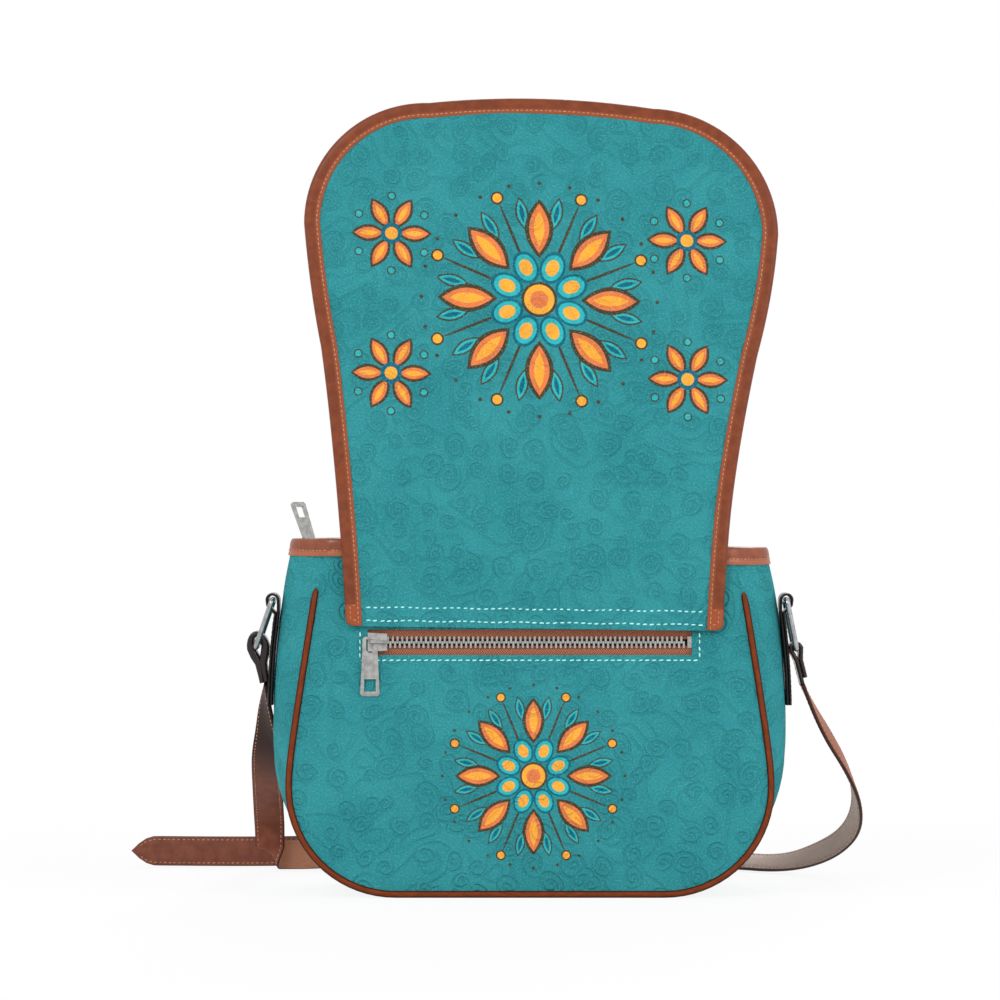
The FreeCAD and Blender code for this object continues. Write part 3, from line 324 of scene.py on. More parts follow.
class Finish:
    """A material, or the world, and the nodes that make it."""

    def __init__(self, name, home=bpy.data.materials):
        self.material = home.new(name)
        self.material.use_nodes = True
        self.tree = self.material.node_tree
        self.tree.nodes.clear()

    def node(self, kind, settings=None, inputs=None, output=0):
        made = self.tree.nodes.new(kind)
        for key, value in (settings or {}).items():
            setattr(made, key, value)
        for key, value in (inputs or {}).items():
            if isinstance(value, Shade):
                self.tree.links.new(value.socket, made.inputs[key])
            else:
                made.inputs[key].default_value = value
        return Shade(self, made.outputs[output]) if made.outputs else None

    def lay(self):
        return self.node("ShaderNodeAttribute", {"attribute_name": "lay"}, output="Vector")

    def place(self):
        """Place in the object's frame, in millimetres."""
        here = self.node("ShaderNodeTexCoord", output="Object")
        return self.vector("SCALE", here, scale=1 / MM)

    def vector(self, operation, first, second=(0, 0, 0), scale=1.0):
        inputs = {0: first, 1: second, 3: scale}
        return self.node("ShaderNodeVectorMath", {"operation": operation}, inputs)

    def split(self, vector):
        first = self.node("ShaderNodeSeparateXYZ", inputs={0: vector})
        return first, first.out("Y"), first.out("Z")

    def mix(self, share, first, second):
        """Colour between two; sockets 6 and 7 and the third output are a Mix node's colours."""
        return self.node("ShaderNodeMix", {"data_type": "RGBA"}, {0: share, 6: first, 7: second}, 2)

    def step(self, value, low, high):
        """0 below low and 1 above high, or the other way round where low is the larger."""
        settings = {"interpolation_type": "SMOOTHSTEP"}
        return self.node("ShaderNodeMapRange", settings, {0: value, 1: low, 2: high})

    def noise(self, vector, scale, detail=3.0):
        return self.node("ShaderNodeTexNoise", inputs={"Vector": vector, "Scale": scale, "Detail": detail})

    def cells(self, vector, scale, settings=None, randomness=1.0):
        inputs = {"Vector": vector, "Scale": scale, "Randomness": randomness}
        return self.node("ShaderNodeTexVoronoi", settings, inputs)

    def bump(self, height, depth, under=None):
        inputs = {"Height": height, "Distance": depth * MM, "Strength": 1.0}
        if under is not None:
            inputs["Normal"] = under
        return self.node("ShaderNodeBump", inputs=inputs)

    def surface(self, **inputs):
        named = {key.replace("_", " "): value for key, value in inputs.items()}
        body = self.node("ShaderNodeBsdfPrincipled", inputs=named)
        self.node("ShaderNodeOutputMaterial", inputs={"Surface": body})
        return self.material


def reach_of(across, up):
    """Shader value of the distance from the middle."""
    return (across * across + up * up) ** 0.5


# Finishes

FOOT_PATCH = 12.0

TEAL = colour(48, 137, 142)
TEAL_DEEP = colour(40, 126, 132)
TEAL_LIGHT = colour(92, 190, 194)
# Dark teal: painted shade in the pressed grooves, and the felt's dark flecks
TEAL_SHADE_AND_DARK_FLECK = colour(12, 92, 101)
PRINT_BROWN = colour(72, 52, 24)
PRINT_ORANGE = colour(226, 118, 58)
PRINT_AMBER = colour(250, 166, 42)
PRINT_TURQUOISE = colour(46, 172, 176)
PRINT_BLUE = colour(18, 96, 118)

# Pressed scrolls: spirals in cells, and flowing lines between them
CURL = SimpleNamespace(
    spacing=16.5, disorder=0.75, pitch=3.7, least=4.4, more=3.4, rim=0.6, eye=(2.0, 0.7), drift=7.0,
    drift_scale=0.05, hand_shares=(0.49, 0.51), groove_shares=(0.4, 0.05),
)
STEM = SimpleNamespace(scale=0.045, lines=5, groove_shares=(0.24, 0.02), depth_share=0.8)
MIDDLE_GREY = (0.5, 0.5, 0.5)


def curl_grooves(f, lay):
    """Depth of the pressed scrolls, from 0 on the cloth to 1 in a groove."""
    drift = f.vector("SUBTRACT", f.noise(lay, CURL.drift_scale, 0.0).out("Color"), MIDDLE_GREY)
    bent = f.vector("ADD", lay, f.vector("SCALE", drift, scale=CURL.drift))
    cell = f.cells(bent, 1 / CURL.spacing, {"voronoi_dimensions": "2D"}, CURL.disorder)
    across, up, _ = f.split(f.vector("SUBTRACT", bent, cell.out("Position")))
    first, second, third = f.split(cell.out("Color"))
    hand = f.step(first, *CURL.hand_shares) * 2 - 1
    size = third * CURL.more + CURL.least
    reach = reach_of(across, up)
    turn = up.math("ARCTAN2", across) * hand / math.tau
    ring = reach / CURL.pitch + turn + second
    inside = f.step(reach - size, CURL.rim, -CURL.rim)
    spiral = f.step(ring.saw(), *CURL.groove_shares) * inside
    eye = f.step(reach, *CURL.eye)
    flow = f.noise(bent, STEM.scale, 0.0) * STEM.lines
    stem = f.step(flow.saw(), *STEM.groove_shares) * (1 - inside)
    return spiral.math("MAXIMUM", eye).math("MAXIMUM", stem * STEM.depth_share)


INK_EDGE = 0.25


class Medallion:
    """Printed flower seen in polar coordinates, painted layer by layer."""

    def __init__(self, f, ground, across, up):
        self.f = f
        self.colour = ground
        self.reach = reach_of(across, up)
        self.angle = up.math("ARCTAN2", across) / math.tau

    def paint(self, share, ink):
        self.colour = self.f.mix(share, self.colour, ink)

    def leaves(self, count, middle, half_length, half_width, inks, turn, round_ends):
        """A ring of like leaves; inks run from the outline inwards."""
        part = ((self.angle * count + turn).math("FRACT") - 0.5) * (math.tau / count)
        along = (self.reach * part.math("COSINE") - middle) / half_length
        across = abs(self.reach * part.math("SINE")) / half_width
        size = along * along + (across * across if round_ends else across)
        self.rings(size, half_width, inks)

    def disc(self, radius, inks):
        self.rings(self.reach / radius, radius, inks)

    def rings(self, size, scale, inks):
        soft = INK_EDGE / scale
        for limit, ink in inks:
            self.paint(self.f.step(size, limit + soft, limit - soft), ink)


LINE_INKS = ((1.0, PRINT_BROWN),)
WARM_INKS = ((1.0, PRINT_BROWN), (0.7, PRINT_ORANGE), (0.36, PRINT_AMBER))
COOL_INKS = ((1.0, PRINT_BROWN), (0.72, PRINT_TURQUOISE), (0.34, PRINT_BLUE))
PETAL_INKS = ((1.0, PRINT_BLUE), (0.66, PRINT_TURQUOISE), (0.26, PRINT_AMBER))
BERRY_INKS = ((1.0, PRINT_BROWN), (0.5, PRINT_AMBER))
HEART_INKS = ((1.0, PRINT_BROWN), (0.84, PRINT_AMBER), (0.5, PRINT_ORANGE))
SMALL_BERRY_INKS = ((1.0, PRINT_BROWN), (0.5, PRINT_TURQUOISE))
SMALL_PETAL_INKS = ((1.0, PRINT_BROWN), (0.66, PRINT_ORANGE), (0.3, PRINT_AMBER))
SMALL_HEART_INKS = ((1.0, PRINT_BLUE), (0.6, PRINT_AMBER))

# Rings of leaves in the order of painting: count; shares of the flower's radius for a leaf's middle,
# half length and half width; inks; turn as a share of the spacing; whether the ends are round
LARGE_FLOWER = SimpleNamespace(
    leaf_shares=(
        (8, 0.58, 0.3, 0.012, LINE_INKS, 0.0, True),
        (8, 0.92, 0.055, 0.055, BERRY_INKS, 0.0, True),
        (24, 0.985, 0.016, 0.016, LINE_INKS, 0.5, True),
        (16, 0.74, 0.14, 0.055, COOL_INKS, 0.0, False),
        (8, 0.6, 0.25, 0.12, WARM_INKS, 0.5, False),
        (8, 0.29, 0.14, 0.105, PETAL_INKS, 0.0, True),
    ),
    heart_share=0.15, heart_inks=HEART_INKS,
)
SMALL_FLOWER = SimpleNamespace(
    leaf_shares=(
        (6, 0.86, 0.1, 0.1, SMALL_BERRY_INKS, 0.0, True),
        (6, 0.52, 0.4, 0.2, SMALL_PETAL_INKS, 0.5, False),
    ),
    heart_share=0.24, heart_inks=SMALL_HEART_INKS,
)
FLAP_PRINT = SimpleNamespace(
    across=5.5, up=338.0, radius=68.0, small_across=84.0, small_up=40.0, small_drop=4.0, small_radius=25.0
)
PANEL_PRINT = SimpleNamespace(across=2.0, up=68.0, radius=52.0)


def print_flower(f, flower, ground, across, up, radius):
    """Ground colour with a flower printed on it."""
    made = Medallion(f, ground, across, up)
    for count, middle, half_length, half_wide, inks, turn, round_ends in flower.leaf_shares:
        sizes = (middle * radius, half_length * radius, half_wide * radius)
        made.leaves(count, *sizes, inks, turn, round_ends)
    made.disc(flower.heart_share * radius, flower.heart_inks)
    return made.colour


def flap_print(f, ground, across, up):
    """A large flower with a small one at each of its four corners."""
    aside = across - FLAP_PRINT.across
    rise = up - FLAP_PRINT.up
    ground = print_flower(f, LARGE_FLOWER, ground, aside, rise, FLAP_PRINT.radius)
    small_across = abs(aside) - FLAP_PRINT.small_across
    small_up = abs(rise + FLAP_PRINT.small_drop) - FLAP_PRINT.small_up
    return print_flower(f, SMALL_FLOWER, ground, small_across, small_up, FLAP_PRINT.small_radius)


def panel_print(f, ground, across, up):
    aside = across - PANEL_PRINT.across
    return print_flower(f, LARGE_FLOWER, ground, aside, up - PANEL_PRINT.up, PANEL_PRINT.radius)


GROOVE_DEPTH = 0.7
GROOVE_SHADE_SHARE = 0.09
CLOUD = SimpleNamespace(scale=0.025, shares=(0.3, 0.7))
FELT = SimpleNamespace(
    scale=1.0, detail=4.0, depth=0.14, rough=0.78, more_rough=0.1, shine=0.12,
    light_shares=(0.5, 0.7), light=0.28, dark_shares=(0.5, 0.3), dark=0.3,
)


def teal_cloth(name, printed=None):
    """Felted cloth with pressed scrolls."""
    f = Finish(name)
    lay = f.lay()
    across, up, _ = f.split(lay)
    groove = curl_grooves(f, lay)
    felt = f.noise(lay, FELT.scale, FELT.detail)
    cloud = f.noise(lay, CLOUD.scale)
    ground = f.mix(f.step(cloud, *CLOUD.shares), TEAL_DEEP, TEAL)
    if printed:
        ground = printed(f, ground, across, up)
    # Painted shade: the pressed grooves are darkened towards the dark teal
    ground = f.mix(groove * GROOVE_SHADE_SHARE, ground, TEAL_SHADE_AND_DARK_FLECK)
    ground = f.mix(f.step(felt, *FELT.light_shares) * FELT.light, ground, TEAL_LIGHT)
    ground = f.mix(f.step(felt, *FELT.dark_shares) * FELT.dark, ground, TEAL_SHADE_AND_DARK_FLECK)
    pressed = f.bump(groove * -1, GROOVE_DEPTH)
    nap = f.bump(felt, FELT.depth, pressed)
    return f.surface(
        Base_Color=ground, Roughness=FELT.rough + felt * FELT.more_rough, Normal=nap,
        Specular_IOR_Level=FELT.shine,
    )


HIDE = SimpleNamespace(
    mottle_scale=0.16, mottle_detail=4.0, mottle_shares=(0.3, 0.72), fine_scale=1.6, fine_shares=(0.45, 0.75),
    fine_tone=0.25, pore_scale=0.9, pore_height=0.5, fine_height=0.6, depth=0.16, more_rough=0.16,
    coat=0.4, coat_rough=0.2,
)
# Half the width of a strip, and where each tone of a leather sets in and is full
STRIP_HALF = 9.0
# side, top, worn and the binding's lip are painted shade, shadow, sheen and highlight
TONE = SimpleNamespace(
    lip=(5.4, 7.0), foot=(FOOT_PATCH + 0.3, FOOT_PATCH - 0.3), flesh=(0.2, 0.6), top=(105.0, 40.0),
    top_share=0.95, normal_face=(-0.3, 0.3), opposite_face=(0.3, -0.3), warm=(150.0, 110.0),
    painted_sheen_from=(40.0, 90.0), painted_sheen_to=(300.0, 200.0), side=(STRIP_HALF * 0.35, STRIP_HALF * 0.9),
    edge=(STRIP_HALF - 0.75, STRIP_HALF - 0.2),
)


def leather(name, dark, light, rough=0.42, shine=0.22, **tones):
    """Smooth finished leather: fine pores, mottled dye, the tones that a piece has of its own and some
    painted light and shade.

    edge: painted edge; side: painted shade on both sides of a round bead; lip: lighter strip beyond a sewing
    line, a painted highlight on the flap's binding; foot: patch at a foot; top: dark dye near the upper end
    with a painted shadow over it; flesh: the face on the side of the strip's normal; warm: that face near the
    upper end; worn: a painted sheen on the opposite face, from the hanging part to the floor.
    """
    f = Finish(name)
    lay = f.lay()
    across, along, lift = f.split(lay)
    mottle = f.noise(lay, HIDE.mottle_scale, HIDE.mottle_detail)
    fine = f.noise(lay, HIDE.fine_scale)
    pores = f.cells(lay, HIDE.pore_scale)
    ground = f.mix(f.step(mottle, *HIDE.mottle_shares), dark, light)
    shares = {
        "lip": lambda: f.step(abs(across), *TONE.lip),
        "foot": lambda: f.step(lift, *TONE.foot),
        "flesh": lambda: f.step(lift, *TONE.flesh),
        "top": lambda: f.step(along, *TONE.top) * TONE.top_share,
        "warm": lambda: f.step(lift, *TONE.normal_face) * f.step(along, *TONE.warm),
        # worn: painted sheen, a reflection of the pale floor painted on the opposite face
        "worn": lambda: (
            f.step(lift, *TONE.opposite_face) * f.step(along, *TONE.painted_sheen_from) * f.step(along, *TONE.painted_sheen_to)
        ),
        "side": lambda: f.step(abs(across), *TONE.side),
        "edge": lambda: f.step(abs(across), *TONE.edge),
    }
    for kind, share in shares.items():
        if kind in tones:
            ground = f.mix(share(), ground, tones[kind])
    ground = f.mix(f.step(fine, *HIDE.fine_shares) * HIDE.fine_tone, ground, dark)
    grain = f.bump(pores * HIDE.pore_height + fine * HIDE.fine_height, HIDE.depth)
    return f.surface(
        Base_Color=ground, Roughness=rough + mottle * HIDE.more_rough, Normal=grain, Specular_IOR_Level=shine,
        Coat_Weight=shine * HIDE.coat, Coat_Roughness=HIDE.coat_rough,
    )


TWIST = SimpleNamespace(turns=1.4, own=0.7, shares=(0.35, 0.0), dark=0.5, rough=0.6, depth=0.12)


def thread(name, light, dark):
    """Twisted sewing thread; the third coordinate differs from stitch to stitch."""
    f = Finish(name)
    along, around, own = f.split(f.lay())
    twist = (along * TWIST.turns + around).saw() * 2
    tone = f.mix(own * TWIST.own, light, dark)
    # Painted shade: the hollows between the twisted plies are darkened
    tone = f.mix(f.step(twist, *TWIST.shares) * TWIST.dark, tone, dark)
    return f.surface(Base_Color=tone, Roughness=TWIST.rough, Normal=f.bump(twist, TWIST.depth))


WEAVE = SimpleNamespace(
    bands=3.2, rib_shares=(0.75, 0.2), fuzz_scale=1.8, fuzz_shares=(0.4, 0.7), fuzz_tone=0.3, fuzz_height=0.3,
    depth=0.18, rough=0.72, more_rough=0.1,
)


def woven(name, light, dark, pitch, slant=1.0, on_solid=False):
    """Herringbone weave along the first coordinate."""
    f = Finish(name)
    lay = f.place() if on_solid else f.lay()
    along, across, _ = f.split(lay)
    width = pitch * WEAVE.bands
    band = (across / width).saw() * width
    rib = ((along + band * slant) / pitch).saw() * 2
    fuzz = f.noise(lay, WEAVE.fuzz_scale)
    tone = f.mix(f.step(rib, *WEAVE.rib_shares), light, dark)
    tone = f.mix(f.step(fuzz, *WEAVE.fuzz_shares) * WEAVE.fuzz_tone, tone, dark)
    weave = f.bump(rib * -1 + fuzz * WEAVE.fuzz_height, WEAVE.depth)
    return f.surface(Base_Color=tone, Roughness=WEAVE.rough + fuzz * WEAVE.more_rough, Normal=weave)


PLATING = SimpleNamespace(
    smear_scale=0.35, smear_shares=(0.35, 0.7), smear_tone=0.5, smear_rough=0.14, mark_scale=1.2,
    mark_stretch=(0.5, 0.5, 6.0), mark_shares=(0.55, 0.75), mark_rough=0.06, depth=0.02,
)
WORN_STEEL = colour(112, 112, 114)


def steel(name, tone, rough):
    """Plated metal with faint wear marks."""
    f = Finish(name)
    place = f.place()
    smear = f.noise(place, PLATING.smear_scale)
    marks = f.noise(f.vector("MULTIPLY", place, PLATING.mark_stretch), PLATING.mark_scale)
    worn = f.mix(f.step(smear, *PLATING.smear_shares) * PLATING.smear_tone, tone, WORN_STEEL)
    marked = f.step(marks, *PLATING.mark_shares) * PLATING.mark_rough
    return f.surface(
        Base_Color=worn, Metallic=1.0, Roughness=rough + smear * PLATING.smear_rough + marked,
        Normal=f.bump(marks, PLATING.depth),
    )


CLOTH = teal_cloth("teal_cloth")
FLAP_CLOTH = teal_cloth("flap_cloth", flap_print)
PANEL_CLOTH = teal_cloth("panel_cloth", panel_print)
# Its lip tone, lighter along the binding's inner edge, is a painted highlight
BINDING = leather(
    "binding_leather", colour(106, 49, 24), colour(126, 60, 30), rough=0.36, lip=colour(144, 74, 42),
    foot=colour(150, 72, 36),
)
RIM_LEATHER = leather(
    "rim_leather", colour(116, 54, 27), colour(144, 71, 37), rough=0.26, shine=0.4, lip=colour(160, 86, 52)
)
# Its side tone is painted shade: the round bead's flanks and the seam beside it are darkened
PIPE_LEATHER = leather(
    "piping_leather", colour(106, 46, 20), colour(130, 58, 26), shine=0.08, side=colour(36, 15, 7)
)
STRAP_DYE = (colour(108, 58, 42), colour(128, 73, 54))
STRAP_LEATHER = leather("strap_leather", *STRAP_DYE, edge=colour(46, 24, 18))
# Its worn tone is a painted sheen: the pale floor's reflection on the opposite face of the hanging part
RIGHT_STRAP_LEATHER = leather(
    "right_strap_leather", *STRAP_DYE, edge=colour(46, 24, 18), warm=colour(142, 76, 42),
    worn=colour(176, 150, 138),
)
# Its top tone is dark dye with a painted shadow of the bag over the strap near its ring
LEFT_STRAP_LEATHER = leather(
    "left_strap_leather", *STRAP_DYE, edge=colour(40, 20, 15), top=colour(20, 11, 9),
    flesh=colour(196, 134, 106), shine=0.1,
)
DARK_END_LEATHER = leather(
    "dark_end_leather", colour(36, 19, 15), colour(56, 29, 22), edge=colour(24, 14, 11), rough=0.16,
    shine=0.36,
)
TAB_LEATHER = leather(
    "tab_leather", colour(22, 17, 16), colour(42, 33, 30), edge=colour(16, 12, 11), rough=0.2, shine=0.28,
)
TAN_THREAD = thread("tan_thread", colour(206, 148, 116), colour(164, 106, 76))
PALE_THREAD = thread("pale_thread", colour(196, 250, 248), colour(146, 226, 226))
BROWN_THREAD = thread("brown_thread", colour(84, 56, 46), colour(52, 34, 28))
ZIP_TAPE = woven("zip_tape", colour(188, 114, 82), colour(106, 58, 38), pitch=1.4)
LINING_WEAVE = dict(light=colour(104, 78, 62), dark=colour(78, 56, 44), pitch=0.9, slant=0.3)
LINING = woven("lining_cloth", **LINING_WEAVE)
SOLID_LINING = woven("solid_lining", **LINING_WEAVE, on_solid=True)
ZIP_METAL = steel("zip_metal", colour(182, 181, 178), rough=0.2)
RING_STEEL = steel("ring_steel", colour(178, 178, 180), rough=0.16)
SNAP_STEEL = steel("snap_steel", colour(172, 169, 164), rough=0.24)


# Sewing

# Rings of a stitch: shares of its half length along it, and of its radius for girth and height
STITCH_RING_SHARES = (
    (-1.0, 0.3, -0.75), (-0.72, 0.8, -0.05), (-0.3, 1.0, 0.3), (0.3, 1.0, 0.3), (0.72, 0.8, -0.05),
    (1.0, 0.3, -0.75),
)
STITCH_SIDES = 6
STITCH_SLANT = 6.0
STITCH_SWAY = 5.0
STITCH_DRIFT_SHARE = 0.08
STITCH_LENGTH_SHARES = (0.92, 1.06)
EDGE_STITCH = SimpleNamespace(pitch=2.7, length=1.8, radius=0.32)
SEAM_STITCH = SimpleNamespace(pitch=3.9, length=2.7, radius=0.45)
STRAP_STITCH = SimpleNamespace(pitch=3.0, length=2.05, radius=0.34)
TAB_STITCH = SimpleNamespace(pitch=2.8, length=1.9, radius=0.28)
SHORTEST = 1e-6


def stitches(path, normals, stitch):
    """Points, faces and lay of a row of stitches along a path on a surface."""
    runs = lengths_along(path)
    pitch = stitch.pitch
    radius = stitch.radius
    count = max(int(runs[-1] / pitch), 1)
    start = (runs[-1] - (count - 1) * pitch) / 2
    points, faces, lay = [], [], []
    at = 0
    for number in range(count):
        place = start + number * pitch + rng.uniform(-STITCH_DRIFT_SHARE, STITCH_DRIFT_SHARE) * pitch
        while at < len(path) - 2 and runs[at + 1] < place:
            at += 1
        share = (place - runs[at]) / max(runs[at + 1] - runs[at], SHORTEST)
        middle = path[at].lerp(path[at + 1], share)
        normal = normals[at].lerp(normals[at + 1], min(max(share, 0.0), 1.0)).normalized()
        along = (path[at + 1] - path[at]).normalized()
        slant = math.radians(STITCH_SLANT + rng.uniform(-STITCH_SWAY, STITCH_SWAY))
        along = Matrix.Rotation(slant, 3, normal) @ along
        side = normal.cross(along)
        own = rng.random()
        half = stitch.length / 2 * rng.uniform(*STITCH_LENGTH_SHARES)
        rings = []
        for reach, girth, lift in STITCH_RING_SHARES:
            centre = middle + along * (half * reach) + normal * (radius * lift)
            ring = []
            for corner in range(STITCH_SIDES):
                angle = math.tau * corner / STITCH_SIDES
                spoke = side * math.cos(angle) + normal * math.sin(angle)
                ring.append(centre + spoke * (radius * girth))
                lay.append((half * reach, corner / STITCH_SIDES, own))
            rings.append(ring)
        faces += shifted(swept(rings), len(points))
        points += flat(rings)
    return points, faces, lay


def sew(name, rows, finish, stitch):
    """One piece of all the stitches of several rows; a row is a path and its normals."""
    points, faces, lay = [], [], []
    for path, normals in rows:
        more, more_faces, more_lay = stitches(path, normals, stitch)
        faces += shifted(more_faces, len(points))
        points += more
        lay += more_lay
    return piece(name, points, faces, finish, lay, THREAD_CREASE)


# Outlines of the body

def on_back(across, out, up):
    """Point out from the back panel's plane; up is along its slope."""
    return Vector((across, -HALF_BASE - out * COS_LEAN + up * SIN_LEAN, out * SIN_LEAN + up * COS_LEAN))


def on_front(across, out, up):
    point = on_back(across, out, up)
    return Vector((point.x, -point.y, point.z))


BACK_OUT = Vector((0, -COS_LEAN, SIN_LEAN))
FRONT_OUT = Vector((0, COS_LEAN, SIN_LEAN))


# The mouth's drop, and where it sets in and is full, across and up
SAG = SimpleNamespace(drop=5.0, across=(-20.0, 130.0), up=(150.0, 198.0))


def settle(point):
    """The soft body hangs lower at the right end of its mouth."""
    return point - UP * (SAG.drop * ease(point.x, *SAG.across) * ease(point.z, *SAG.up))


def half_width(shape, up):
    """Half-width of an outline at a height."""
    knee = shape.bottom + shape.corner
    if up < knee:
        drop = knee - max(up, shape.bottom)
        return shape.half - shape.corner + math.sqrt(shape.corner ** 2 - drop ** 2)
    rise = (up - knee) / (shape.top - knee)
    rounding = math.hypot(1, shape.ease) - shape.ease
    narrowing = (math.hypot(rise, shape.ease) - shape.ease) / rounding
    return mix(shape.half, shape.half_top, narrowing) + bowed(shape.bow, rise)


OUTLINE_STEPS = SimpleNamespace(base=14, corner=18, side=30)


def outline_path(shape, top, grow=0.0):
    """Outline from its left end down round the base to its right end, moved outwards by grow."""
    knee = shape.bottom + shape.corner
    flat_half = shape.half - shape.corner
    right = [(x, shape.bottom) for x in spaced(0, flat_half, OUTLINE_STEPS.base)]
    for step in range(1, OUTLINE_STEPS.corner + 1):
        turn = math.pi / 2 * step / OUTLINE_STEPS.corner
        right.append((flat_half + shape.corner * math.sin(turn), knee - shape.corner * math.cos(turn)))
    right += [(half_width(shape, up), up) for up in spaced(knee, top, OUTLINE_STEPS.side)[1:]]
    left = [(-x, up) for x, up in reversed(right[1:])]
    path = [Vector((x, up)) for x, up in left + right]
    return [p + Vector((d.y, -d.x)) * grow for p, d in zip(path, directions(path))]


# Gusset

GUSSET_STEPS = 30
# Uneven hang of the gusset's cloth, and the heights at which it sets in and is full
GUSSET_SWAY = SimpleNamespace(scale=0.03, depth=0.7, up=(10.0, 70.0))


def gusset_point(edge, middle, depth):
    """Point of the gusset; depth runs from -1 at the back panel to 1 at the front panel."""
    rim = on_front(edge.x, -WALL, edge.y)
    curve = depth * depth
    place = Vector((mix(middle.x, edge.x, curve), rim.y * depth, mix(middle.y, rim.z, curve)))
    sway = noise.noise(place * GUSSET_SWAY.scale) * GUSSET_SWAY.depth * (1 - curve)
    place += Vector((math.copysign(sway, middle.x), 0, 0)) * ease(place.z, *GUSSET_SWAY.up)
    place.z = max(place.z, 0.0)
    return settle(place)


def make_gusset():
    edge = outline_path(PANEL, SLOPE)
    middle = outline_path(GUSSET, BODY_HEIGHT)
    runs = lengths_along(middle)
    rows, lay = [], []
    for depth in spaced(-1, 1, GUSSET_STEPS + 1):
        rows.append([gusset_point(e, m, depth) for e, m in zip(edge, middle)])
        lay.append([(run, point.y, 0) for run, point in zip(runs, rows[-1])])
    made = sheet("gusset_cloth", rows, WALL, lay, CLOTH)
    fasten(made, "bag", "gusset")


# Panels

LEAST_ROWS = 3
PANEL_CORNER_STEPS = 16
PANEL_ROW_SPACING = 4.0
PANEL_COLUMNS = SimpleNamespace(inner=44, outer=12, inner_share=0.76)
PANEL_WAVE = SimpleNamespace(scale=0.02, depth=0.5, up=(10.0, 40.0))
BACK_PUFF = SimpleNamespace(top=131.0, height=4.2)
FRONT_PUFF = SimpleNamespace(top=190.0, height=1.4)
PUFF_POWER = 0.8

# Flat spot round the snap on the front panel: its height, and the distances at which it ends
SNAP_UP = 52.0
SNAP_FLAT = (11.0, 29.0)


def panel_ups(marks):
    """Heights of a panel's rows, first round its corners and then up to each mark."""
    knee = PANEL_CUT.bottom + PANEL_CUT.corner
    ups = []
    for step in range(PANEL_CORNER_STEPS + 1):
        ups.append(knee - PANEL_CUT.corner * math.cos(math.pi / 2 * step / PANEL_CORNER_STEPS))
    for mark in marks:
        count = max(int((mark - ups[-1]) / PANEL_ROW_SPACING), LEAST_ROWS)
        ups += spaced(ups[-1], mark, count + 1)[1:]
    return ups


def panel_puff(x, up, puff):
    """Soft bulge of the stuffed panel."""
    share = (up - PANEL.bottom) / (puff.top - PANEL.bottom)
    if not 0 < share < 1:
        return 0.0
    across = min(abs(x) / half_width(PANEL, up), 1.0)
    return puff.height * math.sin(math.pi * share) ** PUFF_POWER * (1 - across ** 3)


def panel_out(x, up, half, place, puff):
    """How far the panel's cloth stands out."""
    wave = noise.noise(Vector((x, up, 0)) * PANEL_WAVE.scale) * PANEL_WAVE.depth * (1 - (x / half) ** 4)
    out = panel_puff(x, up, puff) + wave * ease(up, *PANEL_WAVE.up)
    if place is on_front:
        out *= ease(math.hypot(x, up - SNAP_UP), *SNAP_FLAT)
    return out


def make_panel(name, place, marks, cloth, node, window, puff):
    """Panel as a grid of rows; its columns gather round the window."""
    ups = panel_ups(marks)
    inner_count = PANEL_COLUMNS.inner
    outer_count = PANEL_COLUMNS.outer
    rows, lay = [], []
    for up in ups:
        half = half_width(PANEL_CUT, up)
        inner = min(ZIP.half_width, PANEL_COLUMNS.inner_share * half)
        xs = spaced(-half, -inner, outer_count)[:-1] + spaced(-inner, inner, inner_count)
        xs += spaced(inner, half, outer_count)[1:]
        rows.append([settle(place(x, panel_out(x, up, half, place, puff), up)) for x in xs])
        lay.append([(x, up, 0) for x in xs])
    left_out = set()
    if window:
        low, high = [min(range(len(ups)), key=lambda i: abs(ups[i] - end)) for end in window]
        columns = range(outer_count - 1, outer_count + inner_count - 2)
        left_out = {(row, column) for row in range(low, high) for column in columns}
    depth = WALL if place is on_front else -WALL
    made = sheet(name, rows, depth, lay, cloth, left_out)
    fasten(made, "bag", node)


def make_panels():
    window = (ZIP.up - ZIP.half_height, ZIP.up + ZIP.half_height)
    make_panel("back_panel_cloth", on_back, (*window, SLOPE), PANEL_CLOTH, "back_panel", window, BACK_PUFF)
    make_panel("front_panel_cloth", on_front, (SLOPE,), CLOTH, "front_panel", None, FRONT_PUFF)


PIPE_SIDES = 14
PIPE_TIP = 7.0
PIPE_TIP_SHARES = (0.0, 0.05, 0.15, 0.35, 0.6)
LEAST_GIRTH_SHARE = 0.05


def make_piping(name, place, node):
    """Leather bead round a panel's edge with rounded tips."""
    path = outline_path(PANEL, PIPING.end, PIPING.offset)
    path = [path[0].lerp(path[1], share) for share in PIPE_TIP_SHARES] + path[1:]
    path = path[:-1] + [path[-1].lerp(path[-2], share) for share in reversed(PIPE_TIP_SHARES)]
    spine = [settle(place(p.x, -PIPING.sunk, p.y)) for p in path]
    out = FRONT_OUT if place is on_front else BACK_OUT
    runs = lengths_along(spine)
    sections, lay = [], []
    for centre, ahead, run in zip(spine, directions(spine), runs):
        tip = min(min(run, runs[-1] - run) / PIPE_TIP, 1.0)
        girth = PIPING.radius * max(math.sqrt(1 - (1 - tip) ** 2), LEAST_GIRTH_SHARE)
        side = ahead.cross(out)
        ring = []
        for corner in range(PIPE_SIDES):
            angle = math.tau * corner / PIPE_SIDES
            ring.append(centre + side * (girth * math.cos(angle)) + out * (girth * math.sin(angle)))
            lay.append((STRIP_HALF * math.cos(angle), run, 0))
        sections.append(ring)
    made = piece(name, flat(sections), swept(sections), PIPE_LEATHER, lay)
    fasten(made, "bag", node)


# Rim binding: one leather strip folded over the whole rim

